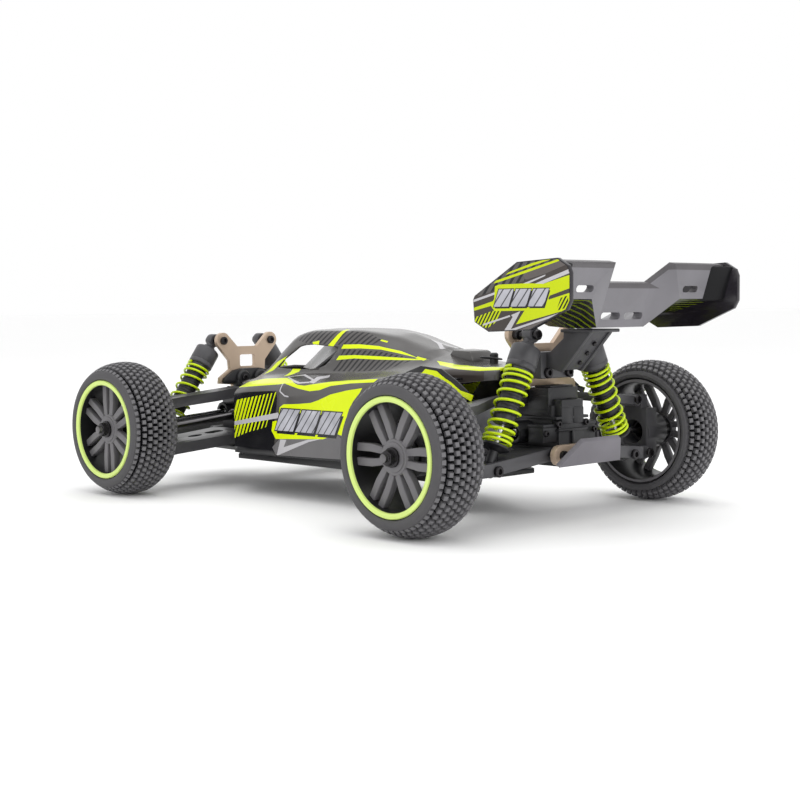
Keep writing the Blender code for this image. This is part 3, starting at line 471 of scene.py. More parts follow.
def refined(node, finishes, chamfer=0.45, choose=None, cuts=()):
    """The CAD node's own shape with rounded edges, and finishes chosen by face."""
    bm = bmesh.new()
    bm.from_mesh(frame["nodes"][node].data)
    bmesh.ops.scale(bm, vec=(1 / MM, 1 / MM, 1 / MM), verts=bm.verts)
    bmesh.ops.remove_doubles(bm, verts=bm.verts, dist=0.003)
    bmesh.ops.dissolve_limit(bm, angle_limit=math.radians(0.6), verts=bm.verts, edges=bm.edges)
    soften(bm, chamfer, 30.0)
    for place, way in cuts:
        geom = bm.verts[:] + bm.edges[:] + bm.faces[:]
        bmesh.ops.bisect_plane(bm, geom=geom, dist=1e-4, plane_co=place, plane_no=way)
    for face in bm.faces:
        face.material_index = choose(face.calc_center_median(), face.normal) if choose else 0
    return present(f"{node}_body", bm, finishes, BODY_OF[node], (node,))


# ---- paint


def inside(point, outline):
    found = False
    for (ay, az), (by, bz) in zip(outline, outline[1:] + outline[:1]):
        if (az > point[1]) != (bz > point[1]):
            if point[0] < (by - ay) * (point[1] - az) / (bz - az) + ay:
                found = not found
    return found


def spans(face, a, b, axes):
    """Whether the face's box, seen along the third axis, meets the segment's box."""
    for k, axis in enumerate(axes):
        values = [v.co[axis] for v in face.verts]
        if max(values) < min(a[k], b[k]) - 0.01 or min(values) > max(a[k], b[k]) + 0.01:
            return False
    return True


def mark_out(bm, outline, axes=(1, 2), allowed=None):
    """Cuts the faces along an outline seen along X or Y, and returns the ones in it."""
    low = [min(p[k] for p in outline) for k in (0, 1)]
    high = [max(p[k] for p in outline) for k in (0, 1)]
    faces = [f for f in bm.faces if spans(f, low, high, axes)]
    if allowed:
        faces = [f for f in faces if allowed(f.calc_center_median())]
    for a, b in zip(outline, outline[1:] + outline[:1]):
        near = [f for f in faces if spans(f, a, b, axes)]
        if not near:
            continue
        held = set(near)
        away = [f for f in faces if f not in held]
        start = Vector((0, 0, 0))
        normal = Vector((0, 0, 0))
        start[axes[0]], start[axes[1]] = a
        normal[axes[0]], normal[axes[1]] = a[1] - b[1], b[0] - a[0]
        edges = list({e for f in near for e in f.edges})
        verts = list({v for f in near for v in f.verts})
        result = bmesh.ops.bisect_plane(
            bm,
            geom=verts + edges + near,
            dist=1e-5,
            plane_co=start,
            plane_no=normal.normalized(),
        )
        faces = away + [g for g in result["geom"] if isinstance(g, bmesh.types.BMFace)]
    found = []
    for face in faces:
        centre = face.calc_center_median()
        if inside((centre[axes[0]], centre[axes[1]]), outline):
            found.append(face)
    return found


def paint(bm, outline, number, allowed=None):
    for face in mark_out(bm, outline, allowed=allowed):
        face.material_index = number


def ribbon(points, width):
    """The outline of a stripe of one width along some points."""
    left = []
    right = []
    for i, point in enumerate(points):
        before = Vector(points[max(i - 1, 0)])
        after = Vector(points[min(i + 1, len(points) - 1)])
        way = (after - before).normalized()
        side = Vector((-way.y, way.x)) * width / 2
        left.append(tuple(Vector(point) + side))
        right.append(tuple(Vector(point) - side))
    return left + right[::-1]


def emblem(at, width, height, count=3, gap=2.2, lean=0.5):
    """A row of plain leaning bars: a decoration that says nothing."""
    bars = []
    step = (width - height * lean + gap) / count
    for i in range(count):
        y = at[0] + i * step
        foot = [(y, at[1]), (y + step - gap, at[1])]
        bars.append(foot + shifted(foot[::-1], height * lean, height))
    return bars


def shifted(outline, y, z):
    return [(a + y, b + z) for a, b in outline]


SHELL_RIM = ((-0.9, -0.7), (0.6, -0.7), (1.0, 0.7), (-0.7, 0.7))
PLATE_RIM = ((-0.5, -0.4), (0.3, -0.4), (0.6, 0.4), (-0.4, 0.4))


def grown(bar, steps):
    """The outline of the dark rim round a bar: each corner moved by its own step."""
    return [(y + dy, z + dz) for (y, z), (dy, dz) in zip(bar, steps)]


# ---- body shell

# Half sections of the shell at each station, from the lower edge up to the middle.
SECTIONS = (
    (
        (-126, ((19, 61), (21, 66), (20, 68.5), (16, 69.5), (12, 70), (6, 70.3), (0, 70.5))),
        (-98, ((24, 61), (28, 66.5), (27, 69), (23, 72), (17, 74.3), (9, 75.4), (0, 75.8))),
    ),
    (
        (-95, ((50, 25.8), (50, 63), (47, 66.5), (32, 72.3), (23, 76.8), (14, 79), (0, 79.8))),
        (-80, ((51, 25.8), (51, 65), (48, 69), (32, 75), (26, 84.5), (21, 90.3), (0, 92))),
        (-62, ((51.5, 26), (51.5, 66), (49, 70), (32, 76.5), (27, 92), (22, 100.8), (0, 102))),
        (-50, ((52, 26), (52, 66.5), (49, 70.5), (32, 77), (27.5, 94.3), (22, 103), (0, 104))),
        (-46, ((52, 26), (52, 66.8), (49, 70.8), (32, 77.2), (27.5, 94.3), (22, 103.3), (0, 104.1))),
        (-42, ((52, 26.1), (51.2, 63.3), (49, 71), (32, 77.3), (27.5, 94.2), (22, 103.4), (0, 104.2))),
        (-17, ((52, 26.4), (51.2, 65), (49, 71.5), (32, 78), (27.5, 93.5), (21, 103.4), (0, 104.3))),
        (16, ((52, 27), (51, 69), (48, 73.5), (33, 79), (25.5, 92), (17, 99.8), (0, 101.8))),
        (30, ((51.6, 27.4), (50, 71.5), (47, 75.5), (34, 80), (24, 90.5), (15, 96.3), (0, 98.4))),
        (48, ((51, 28), (49, 73), (46, 76.5), (35, 81), (22, 88.5), (13, 92), (0, 93.4))),
    ),
    (
        (54, ((44, 68), (43, 75.5), (41, 78.5), (33, 82), (20, 87.2), (11, 89.8), (0, 90.8))),
        (84, ((34, 74), (34, 79.5), (32, 82), (27, 83.5), (18, 84), (9, 84.3), (0, 84.5))),
        (113, ((28.5, 77), (28.5, 80.5), (27.5, 82), (24, 83.4), (16, 83.8), (8, 84), (0, 84))),
    ),
)
SECTION_PIECES = (9, 2, 5, 5, 3, 5)  # how finely each side of a section is divided
SECTION_ROUND = (1.0, 1.8, 3.0, 1.6, 3.4)  # how far each corner's rounding reaches


def slopes(xs, ys):
    """The slopes of a smooth curve through points that never overshoots them."""
    steps = [(b - a) / (d - c) for a, b, c, d in zip(ys, ys[1:], xs, xs[1:])]
    found = [steps[0]]
    for a, b in zip(steps, steps[1:]):
        found.append(0.0 if a * b <= 0 else 2 * a * b / (a + b))
    return found + [steps[-1]]


def curve_value(xs, ys, found, x):
    i = max(k for k in range(len(xs) - 1) if xs[k] <= x + 1e-9)
    width = xs[i + 1] - xs[i]
    t = (x - xs[i]) / width
    return (
        (2 * t**3 - 3 * t**2 + 1) * ys[i]
        + (t**3 - 2 * t**2 + t) * width * found[i]
        + (3 * t**2 - 2 * t**3) * ys[i + 1]
        + (t**3 - t**2) * width * found[i + 1]
    )


def rounded_section(points):
    """A section's points with its corners rounded and its sides divided."""
    corners = [[Vector(points[0])]]
    for before, at, after, reach in zip(points, points[1:], points[2:], SECTION_ROUND):
        before, at, after = Vector(before), Vector(at), Vector(after)
        reach = min(reach, (before - at).length * 0.4, (after - at).length * 0.4)
        a = at + (before - at).normalized() * reach
        b = at + (after - at).normalized() * reach
        corners.append([a, (a + 2 * at + b) / 4, b])
    corners.append([Vector(points[-1])])
    row = []
    for corner, following, pieces in zip(corners, corners[1:], SECTION_PIECES):
        row += corner
        for k in range(1, pieces):
            row.append(corner[-1].lerp(following[0], k / pieces))
    return row + corners[-1]


def shell_rows(spacing=3.0):
    """(y, section) rows along the whole shell."""
    rows = []
    for group in SECTIONS:
        ys = [y for y, _ in group]
        curves = []
        for j in range(len(group[0][1])):
            for k in (0, 1):
                values = [half[j][k] for _, half in group]
                curves.append((values, slopes(ys, values)))
        stops = set(ys)
        for a, b in zip(ys, ys[1:]):
            pieces = max(1, round((b - a) / spacing))
            stops |= {a + (b - a) * i / pieces for i in range(pieces)}
        for y in sorted(stops):
            flat = [curve_value(ys, values, found, y) for values, found in curves]
            rows.append((y, rounded_section(list(zip(flat[::2], flat[1::2])))))
    return rows


WINDOW = [
    (-75.4, 79.6), (-64.0, 79.0), (-42.2, 79.2), (-32.5, 80.4), (-27.9, 82.0), (-24.5, 85.0),
    (-22.0, 88.0), (-18.2, 92.4), (-19.6, 93.3), (-30.0, 93.9), (-43.0, 94.7), (-50.3, 94.3),
    (-56.4, 93.0), (-62.7, 89.3), (-70.2, 85.2),
]
SCREEN = [(-0.5, 78.4), (13.0, 78.4), (16.8, 88.0), (17.0, 94.0), (15.0, 99.5), (-0.5, 100.3)]
SHELL_FINISHES = ("smoke", "neon", "ink", "pale", "silver", "panel", "brown", "slats", "mesh")


def shell_livery():
    """(finish, outline, least x) for each painted shape on the shell's left side; one thin pale line is a painted
    highlight.
    """
    shapes = []

    def add(finish, least_x, *outline):
        shapes.append((finish, list(outline), least_x))

    add(
        "slats", 18, (-60, 96.4), (-50, 95.2), (-18, 94.4), (5, 93.2), (12, 97.5), (0, 101.6), (-20, 103),
        (-56, 102.6),
    )
    add("slats", 18, (-19, 78.6), (-14, 92), (14, 91), (34, 88.6), (44, 86), (30, 80.5), (0, 78.8))
    add("neon", 18, (-22.5, 103.8), (-19.2, 103.8), (-24.0, 93.2), (-29.6, 93.2))
    add("neon", 18, (-44.6, 95.8), (-38.7, 96.8), (-37.9, 94.0), (-43.0, 94.0))
    add(
        "neon", 18, (-16.3, 92.1), (-15.5, 94.6), (-2.5, 94.9), (12.8, 94.0), (31, 91.2), (46, 87.6),
        (32.5, 89.7), (16.5, 92.0), (0, 92.5),
    )
    add(
        "neon", 18, (-18.9, 85.2), (-16.9, 87.9), (-3.3, 88.5), (17, 88.1), (34.5, 87.5), (54, 86.5),
        (35.5, 86.2), (18, 86.2), (-2.8, 86.5),
    )
    add("pale", 0, *ribbon([(24, 100.6), (31, 98.4), (40, 95.6), (49, 92.4)], 0.35))
    add("neon", 16, *ribbon([(11.5, 97.4), (17.0, 96.4)], 0.8))
    add("neon", 18, *ribbon([(45, 87.9), (51.5, 86.6)], 1.0))
    add("neon", 20, (-88.5, 74.6), (-79.1, 82.6), (-67.6, 87.0), (-72, 83.6), (-79, 77.6))
    add("neon", 20, (-60.5, 74.6), (-58.2, 79.4), (-50.3, 79.4), (-51, 77.6), (-56.5, 75.0))
    add(
        "neon", 25, (-97, 69.8), (-75, 72.8), (-53.5, 73.8), (-44, 72.8), (-32.3, 70.5), (-26, 70.3),
        (-6, 73.1), (11, 74.5), (36, 76.0), (34.6, 74.1), (14.7, 72.9), (-1.9, 70.9), (-10.8, 68.2),
        (-19.9, 67.2), (-30.7, 68.3), (-45.7, 71.0), (-51, 70.3), (-90.4, 67.2), (-97, 66.6),
    )
    add("pale", 25, (-55.6, 74.3), (-42, 76.2), (-24.2, 73.7), (-24.2, 72.0), (-33, 71.2))
    add("ink", 25, (-53.6, 74.3), (-41.6, 75.5), (-25.6, 73.4), (-25.6, 72.6), (-33, 72.0))
    add(
        "pale", 25, (-25.3, 73.6), (-26.1, 75.2), (-17.2, 76.4), (-14.5, 75.2), (-19.8, 74.2),
        (-18.8, 71.8), (-24.3, 72.2),
    )
    add(
        "ink", 25, (-98, 20), (-98, 63.2), (-50, 66.6), (-48.8, 62), (-49.6, 56), (-51.5, 49),
        (-52.5, 24),
    )
    field = [(-98, 58.4), (-49.6, 65.6), (-51.4, 52.6), (-57, 44.2), (-82, 38.8), (-98, 34.0)]
    for i in range(14):
        wide = 2.9 - 0.17 * i
        bar = bar_across(-104.0 + 3.75 * i, wide, field)
        if bar:
            add("neon", 25, *bar)
    add("pale", 25, (-98, 42.6), (-98, 44.8), (-48.3, 53.2), (-46.4, 50.0), (-94, 43.0))
    add(
        "panel", 25, (-54.5, 31.5), (-46.3, 37.5), (-10, 39.8), (6, 42.5), (10.8, 40), (50, 40),
        (50, 28.8), (-51, 26.8),
    )
    add(
        "neon", 25, (-46.3, 56.6), (-43.3, 58.4), (-29.6, 59.2), (-18, 60.3), (-10.8, 62.2), (0, 66.0),
        (14.2, 68.8), (27, 70.6), (25, 67.7), (20, 62.8), (16.5, 58), (13, 50), (16, 41), (7, 42.9),
        (-6.7, 39.2), (-50.8, 36.8), (-55, 41.7), (-53.7, 47.4), (-48.5, 48.3),
    )
    for bar in emblem((-51.5, 42.2), 62.0, 13.4):
        add("ink", 25, *shifted(bar, 1.5, -1.9))
        add("ink", 25, *grown(bar, SHELL_RIM))
        add("silver", 25, *bar)
    add(
        "pale", 25, (-46.3, 36.8), (-40.8, 36.8), (-43.4, 32.2), (-20.5, 38.1), (-8.5, 39.2),
        (-19.6, 36.8), (-50.2, 26.4),
    )
    add("ink", 25, (-52, 20), (-52, 26.8), (10, 28.3), (52, 30), (52, 20))
    # Painted highlight: a thin pale line along the edge where the front block steps out of the side wall.
    add("pale", 25, *ribbon([(-47.0, 70.6), (-46.0, 66.2), (-42.5, 63.6), (-39.0, 63.2)], 0.8))
    add(
        "neon", 21, (59, 86.0), (63, 85.6), (84.5, 83.8), (100, 83.4), (114, 84.4), (114, 82.4),
        (100, 81.6), (86, 82.2), (66, 83.9),
    )
    add("brown", 20, (72, 70), (72, 83.1), (86, 82.0), (104, 81.2), (104, 70))
    return shapes


def bar_across(y, wide, field):
    """One leaning bar, from the lower to the upper edge of the field of bars."""
    lean = 0.5

    def height_at(edge, start):
        for (ay, az), (by, bz) in zip(edge, edge[1:]):
            for k in range(41):
                py = ay + (by - ay) * k / 40
                pz = az + (bz - az) * k / 40
                if abs(py - (start + lean * (pz - 34.0))) < (by - ay) / 60:
                    return pz
        return None

    top = height_at([field[0], field[1]], y)
    bottom = height_at([field[5], field[4], field[3], field[2], field[1]], y)
    if top is None:
        return None
    if bottom is None:
        bottom = 34.0
    if top - bottom < 2.0:
        return None
    low = y + lean * (bottom - 34.0)
    high = y + lean * (top - 34.0)
    return [(low, bottom), (low + wide, bottom + 0.6), (high + wide, top + 0.4), (high, top)]


def make_shell():
    """The painted shell, open at its side windows and its windscreen."""
    bm = bmesh.new()
    rows = []
    for y, section in shell_rows():
        rows.append([bm.verts.new((x, y, z)) for x, z in section])
    for row, following in zip(rows, rows[1:]):
        for i in range(len(row) - 1):
            bm.faces.new((row[i], row[i + 1], following[i + 1], following[i]))
    numbers = {name: i for i, name in enumerate(SHELL_FINISHES)}
    for finish, outline, least_x in shell_livery():
        paint(bm, outline, numbers[finish], lambda c, least=least_x: c.x > least)
    open_faces = mark_out(bm, WINDOW, allowed=lambda c: c.x > 20)
    open_faces += mark_out(bm, SCREEN, axes=(0, 2), allowed=lambda c: c.y < -61 and c.z > 78)
    open_faces = [f for f in set(open_faces) if f.is_valid]
    bmesh.ops.delete(bm, geom=open_faces, context="FACES")
    whole = join((bm, mirrored(bm)))
    bmesh.ops.remove_doubles(whole, verts=whole.verts, dist=0.004)
    outward(whole)
    roof = max(whole.faces, key=lambda f: f.calc_center_median().z)
    if roof.normal.z < 0:
        bmesh.ops.reverse_faces(whole, faces=whole.faces)
    shell = present("body_shell_skin", whole, SHELL_FINISHES, None, smooth=38)
    thick = shell.modifiers.new("thickness", "SOLIDIFY")
    thick.thickness = 1.0 * MM
    thick.offset = -1.0
    apply_modifiers(shell)
    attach(shell, "chassis")
    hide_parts("body_shell")
    SHOWN.add("body_shell")


def apply_modifiers(obj):
    bpy.context.view_layer.update()
    graph = bpy.context.evaluated_depsgraph_get()
    mesh = bpy.data.meshes.new_from_object(obj.evaluated_get(graph))
    obj.modifiers.clear()
    obj.data = mesh


def make_cockpit():
    """The V-shaped bulkhead behind the windows, and the scoop and clip on the deck."""
    bm = bmesh.new()
    ridge = ((0, -49, 103), (0, -86, 78.2))
    flank = ((27.6, -15.5, 94), (29.5, -41, 78.8))
    left = [bm.verts.new(p) for p in (*ridge, flank[1], flank[0])]
    bm.faces.new(left)
    right = [left[0], left[1]] + [bm.verts.new((-x, y, z)) for x, y, z in (flank[1], flank[0])]
    bm.faces.new(right)
    bmesh.ops.subdivide_edges(bm, edges=bm.edges, cuts=6, use_grid_fill=True)
    outward(bm)
    bmesh.ops.solidify(bm, geom=bm.faces[:], thickness=1.2)
    present("cockpit_bulkhead", bm, ("bulkhead",), "chassis", smooth=20)
    side = [(54.6, 86.5), (59.5, 92.3), (73.5, 91.6), (76.4, 84.2)]
    present("deck_scoop", prism(side, -9.2, 9.2, "YZ", 1.6), ("smoke",), "chassis")
    post = (0.0, 84.0, 84.6)
    loop = []
    for i in range(28):
        angle = 2 * math.pi * i / 28
        squeeze = 1.0 + 0.35 * math.cos(angle)
        loop.append(
            (
                post[0] + 8.0 * math.cos(angle) + 2.0,
                post[1] + 3.1 * squeeze * math.sin(angle),
                87.4 + 0.8 * math.cos(angle),
            )
        )
    shapes = [
        (rod((post[0], post[1], 80), (post[0], post[1], 90.5), 2.4, chamfer=0.8), 0),
        (tube(loop, 0.55, 8, closed=True), 0),
    ]
    present("body_clip", combine(shapes), ("black",), "chassis")


# ---- wheels

TREAD = (
    (85.0, 33.6), (86.8, 37.0), (90.4, 39.8), (95.0, 41.5), (100.0, 42.0), (105.0, 41.6), (109.6, 40.6),
    (113.6, 38.8), (116.8, 36.6),
)
STUD_HEIGHT = 2.3
STUD_ROWS = 9
STUDS_ROUND = 60
WHEEL_STEPS = 96


def tread_at(x):
    """The tread's radius at x, and its slope."""
    xs = [p[0] for p in TREAD]
    ys = [p[1] for p in TREAD]
    found = slopes(xs, ys)
    here = curve_value(xs, ys, found, x)
    return here, (curve_value(xs, ys, found, x + 0.1) - here) / 0.1


def stud(x, angle):
    """A square stud with sloping sides, standing on the tread."""
    radius, slope = tread_at(x)
    out = Vector((-slope, 1.0)).normalized()
    centre = Vector((x, radius))
    bm = bmesh.new()
    rings = []
    for depth, grow in ((STUD_HEIGHT + 0.5, 1.3), (0.15, 1.0), (0.0, 0.84)):
        middle = centre - out * depth
        ring = []
        for across, along in ((-1, -1), (1, -1), (1, 1), (-1, 1)):
            place = middle + Vector((out.y, -out.x)) * across * 1.08 * grow
            turn = angle + along * 1.2 * grow / radius
            ring.append(bm.verts.new((place.x, place.y * math.sin(turn), place.y * math.cos(turn))))
        rings.append(ring)
    skin(bm, rings, rings[-1:])
    return bm


def make_tyre_mesh():
    """A tyre about the X axis: smooth walls, a tread band painted near-black as shade, and staggered studs."""
    inner = [(31.3, 87.4), (32.2, 85.4), (33.8, 85.0), (35.6, 85.6)]
    band = []
    for i in range(14):
        x = 87.2 + (114.8 - 87.2) * i / 13
        radius, slope = tread_at(x)
        out = Vector((-slope, 1.0)).normalized()
        band.append((radius - out.y * STUD_HEIGHT, x - out.x * STUD_HEIGHT))
    outer = [(36.7, 115.9), (36.4, 117.0), (35.3, 117.9), (33.6, 118.2), (32.2, 118.1), (31.3, 117.4)]
    axis = ((0, 0, 0), (1, 0, 0))
    walls = [
        turned(inner + band[:1], *axis, WHEEL_STEPS),
        turned(band[-1:] + outer, *axis, WHEEL_STEPS),
        turned([outer[-1], inner[0]], *axis, WHEEL_STEPS),
    ]
    studs = []
    for row in range(STUD_ROWS):
        x = 88.2 + (115.6 - 88.2) * row / (STUD_ROWS - 1)
        for i in range(STUDS_ROUND):
            turn = 2 * math.pi * (i + 0.5 * (row % 2)) / STUDS_ROUND
            studs.append(stud(x, turn))
    shapes = [(wall, 0) for wall in walls]
    # The tread band takes the near-black finish: painted shade between the studs.
    shapes.append((turned(band, *axis, WHEEL_STEPS), 1))
    shapes.append((merge(studs), 2))
    tyre = combine(shapes)
    bmesh.ops.remove_doubles(tyre, verts=tyre.verts, dist=0.001)
    return outward(tyre)


def merge(shapes):
    """Copies many small shapes into one."""
    joined = bmesh.new()
    for shape in shapes:
        shape.verts.index_update()
        made = [joined.verts.new(v.co) for v in shape.verts]
        for face in shape.faces:
            joined.faces.new([made[v.index] for v in face.verts])
        shape.free()
    return joined


def spoke_bars(start):
    """Twelve bars in six pairs, each with a slot between its two bars."""
    half = [(28.3, 1.7), (17.5, 1.7), (8.6, 1.0), (8.6, 4.6), (16.8, 5.9), (28.3, 5.9)]
    bars = []
    for i in range(6):
        spin = Matrix.Rotation(math.radians(start + 60 * i), 2)
        for side in (1, -1):
            outline = [tuple(spin @ Vector((along, across * side))) for along, across in half]
            bars.append((prism(outline, 109.0, 113.2, "YZ", 0.45), 0))
    return bars


def make_rim_mesh(start):
    """A dark barrel, six pairs of grey spokes, the hub and the bright ring."""
    axis = ((0, 0, 0), (1, 0, 0))
    barrel = [
        (30.9, 86.6), (30.9, 117.2), (28.6, 117.4), (27.7, 116.4), (27.6, 100.0), (28.6, 88.4),
        (29.4, 86.6),
    ]
    lip = [(30.6, 86.2), (30.9, 86.6), (30.9, 88.0), (29.6, 87.4), (29.2, 86.5)]
    ring = [(27.75, 116.6), (28.0, 117.6), (29.2, 118.15), (30.4, 118.0), (30.9, 117.3), (30.9, 116.9)]
    hub = [
        (2.9, 108.6), (9.6, 108.6), (9.6, 112.6), (9.0, 113.4), (7.9, 113.5), (7.6, 114.1), (2.9, 114.1),
    ]
    boss = [(2.9, 103.0), (8.4, 103.0), (8.4, 109.0), (2.9, 109.0)]
    shapes = [
        (turned(barrel, *axis, WHEEL_STEPS, closed=True), 1),
        (turned(lip, *axis, WHEEL_STEPS, closed=True), 0),
        (turned(ring, *axis, WHEEL_STEPS, closed=True), 2),
        (turned(hub, *axis, 48, closed=True), 0),
        (turned(boss, *axis, 36, closed=True), 1),
    ]
    return combine(shapes + spoke_bars(start))


def axle_finish(centre, normal):
    """The tip and the inner end are bare steel."""
    return 1 if abs(centre.x) > 118.9 or abs(centre.x) < 98 else 0


def make_wheels():
    tyre = make_tyre_mesh()
    for end, start in (("front", 30), ("rear", 0)):
        rim = make_rim_mesh(start)
        for side in SIDES:
            name = f"{end}_{side}"
            hub = Vector(JOINTS[f"{name}_wheel_spin"]["pos_m"]) / MM
            for kind, source, finishes in (
                ("tyre", tyre, ("rubber", "groove_shade", "stud")), ("rim", rim, ("rim", "barrel", "ring")),
            ):
                shape = source.copy() if side == "left" else mirrored(source)
                bmesh.ops.translate(shape, vec=(0, hub.y, hub.z), verts=shape.verts)
                body = BODY_OF[f"{name}_{kind}"]
                present(f"{name}_{kind}_body", shape, finishes, body, (f"{name}_{kind}",), 30)
            refined(f"{name}_axle", ("screw", "dark_steel"), 0.3, axle_finish)
        rim.free()
    tyre.free()


# ---- shock absorbers


def shock_line(name):
    """The top eye, the direction down the shock absorber, and its length."""
    top = Vector(JOINTS[f"{name}_shock_pivot"]["pos_m"]) / MM
    way = Vector(JOINTS[f"{name}_shock_slide"]["axis"]).normalized()
    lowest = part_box(f"{name}_shock_rod")[0].z / MM + 4.6
    return top, way, (lowest - top.z) / way.z


def make_shock(name, turns):
    top, way, length = shock_line(name)
    side = Vector((0, 1, 0))

    def at(s):
        return top + way * s

    seat = length - 13.6
    mouth = seat - 12.4
    cap = [
        (0, 5.0), (3.6, 5.2), (4.6, 6.4), (6.6, 7.2), (7.8, 8.0), (8.1, 8.8), (8.1, 17.2), (7.9, 17.5),
        (8.1, 17.8), (8.1, 19.8), (7.6, 20.5), (6.2, 20.5), (6.2, 21.2), (6.0, 22.0),
    ]
    barrel = [(6.0, 22.0)]
    for s in range(24, int(mouth) - 3, 2):
        barrel += [(6.0, s), (5.8, s + 0.4), (6.0, s + 0.8)]
    barrel += [
        (6.1, mouth - 2.6), (6.1, mouth - 0.8), (5.2, mouth), (1.9, mouth), (1.9, mouth - 4),
        (0, mouth - 4),
    ]
    eye = [(2.3, -3.0), (4.0, -3.0), (4.4, -2.4), (4.4, 2.4), (4.0, 3.0), (2.3, 3.0)]
    shapes = [
        (turned(cap, top, top + way, 40), 0),
        (turned(barrel, top, top + way, 32), 1),
        (turned(eye, top, top + side, 28, closed=True), 0),
        (rod(at(2.6), at(7.0), 3.1, 20), 0),
    ]
    present(
        f"{name}_shock_body_shape",
        combine(shapes),
        ("satin", "black"),
        BODY_OF[f"{name}_shock_body"],
        (f"{name}_shock_body",),
    )
    low = at(length)
    cup = [
        (0, seat - 0.2), (7.6, seat - 0.2), (7.9, seat + 0.1), (7.9, seat + 1.0), (7.3, seat + 1.4),
        (3.2, seat + 3.2), (0, seat + 3.2),
    ]
    eye = [(2.9, -2.8), (3.9, -2.8), (4.3, -2.2), (4.3, 2.2), (3.9, 2.8), (2.9, 2.8)]
    shapes = [
        (rod(at(34.0), at(seat + 1), 1.5, 20), 1),
        (turned(cup, top, top + way, 40), 0),
        (rod(at(seat + 2), at(length - 3.4), 2.7, 20), 0),
        (turned(eye, low, low + side, 28, closed=True), 0),
    ]
    present(
        f"{name}_shock_rod_shape",
        combine(shapes),
        ("black", "steel"),
        BODY_OF[f"{name}_shock_rod"],
        (f"{name}_shock_rod",),
    )
    make_spring(name, at, way, (21.2, seat - 1.0), turns)


def make_spring(name, at, way, span, turns):
    """A round-wire spring whose end turns lie close together."""
    across = way.cross(Vector((0, 1, 0))).normalized()
    side = way.cross(across)
    per_turn = 28
    points = []
    count = int(turns * per_turn)
    for i in range(count + 1):
        share = i / count
        height = share - 0.08 * math.sin(2 * math.pi * share)
        angle = 2 * math.pi * i / per_turn
        s = span[0] + (span[1] - span[0]) * height
        points.append(at(s) + 7.5 * (math.cos(angle) * across + math.sin(angle) * side))
    spring = present(f"{name}_spring_coil", tube(points, 0.78, 10), ("spring",), None, smooth=60)
    tuple(at(span[0] + 1.5) * MM)
    tuple(at(span[1] - 1.5) * MM)
    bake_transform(spring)
    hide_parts(f"{name}_spring")
    SHOWN.add(f"{name}_spring")


# ---- wing

PLATE_EDGE = [
    (166.4, 138.0), (191.8, 139.3), (198.2, 135.6), (199.5, 132.3), (199.5, 119.2), (197.1, 115.1),
    (174.2, 105.4), (147.0, 104.5), (137.7, 109.2), (136.7, 120.0), (137.8, 122.0),
]


def plate_decal():
    """(finish, outline) for each shape printed on the wing's end plate."""
    shapes = []

    def add(finish, *outline):
        shapes.append((finish, list(outline)))

    add(
        "slats", (150, 131), (166, 139), (194, 139.6), (197.2, 136.2), (170.4, 129.0), (152.1, 124.8),
        (139, 121.6),
    )
    add("taupe", (170, 133.4), (194, 139.2), (197.2, 136.2), (184.2, 132.2), (172, 129.6))
    add("slats", (150, 131), (166, 139), (182, 139), (168, 132.0), (150, 127.5), (139, 121.6))
    add("print", (158.6, 132.2), (161, 133.6), (176, 137.6), (186.5, 139.4), (189.5, 139.4), (176, 136.3))
    add(
        "print", (150.5, 128.2), (152.4, 129.6), (167.4, 133.2), (193.9, 139.4), (193.4, 138.2),
        (170.4, 132.6), (154.2, 128.8),
    )
    add("pale", (168.0, 127.2), (184.7, 131.9), (184.5, 131.2), (172, 127.2))
    add("pale", (176.5, 127.2), (201, 134.7), (201, 132.6), (182.3, 127.2))
    add("print", (178, 126.2), (201, 131.7), (201, 125.4), (187, 121.6))
    add("pale", (136, 120.0), (152.0, 124.0), (152.8, 123.0), (136, 118.8))
    add("print", (136, 115.9), (150.6, 119.5), (149.5, 117.2), (136, 114.4))
    add("brown", (136, 113.6), (148.5, 116.6), (149.5, 115.8), (136, 112.2))
    add("hatch", (136, 110.9), (150, 114.6), (156.4, 114.7), (151.4, 108.4), (146.2, 105.8), (136, 108.6))
    add("pale", (143.0, 107.9), (161.4, 112.4), (161.8, 111.6), (143.6, 107.1))
    add(
        "print", (171.3, 114.8), (176, 117.4), (184, 121.5), (201, 123.0), (201, 117), (197.1, 114.6),
        (192.3, 113.6), (165.6, 107.8),
    )
    add("brown", (186.0, 119.6), (186.0, 121.4), (201, 124.9), (201, 123.2))
    add("hatch", (194.3, 120.6), (198.9, 121.7), (198.9, 117.8), (196.6, 115.5), (191.4, 114.3))
    add("pale", (162.3, 112.4), (168.6, 114.4), (160.4, 103), (156.2, 103), (163.4, 111.4))
    add("taupe", (160, 103.0), (192.4, 112.4), (187.0, 107), (181.7, 103))
    add("pale", (160.0, 104.9), (192.6, 113.2), (193.2, 112.4), (161.5, 104.1))
    add(
        "print", (148.4, 117.4), (151.0, 120.4), (151.6, 126.8), (154.4, 127.6), (173.4, 127.9),
        (190.2, 127.2), (190.6, 125.4), (186.6, 120.6), (187.2, 116.6), (173.3, 114.6), (151.2, 114.4),
    )
    for bar in emblem((150.6, 116.6), 36.4, 8.6, gap=1.5, lean=0.42):
        add("ink", *shifted(bar, 0.8, -0.9))
        add("ink", *grown(bar, PLATE_RIM))
        add("silver", *bar)
    return shapes


LIP_Z = 135.4  # the outer lips start here
MIDDLE_LIP_Z = 125.6
PLATE_X = 69.6  # the end plates start here
WING_CUTS = [(Vector((0, 0, z)), Vector((0, 0, 1))) for z in (LIP_Z, MIDDLE_LIP_Z)]


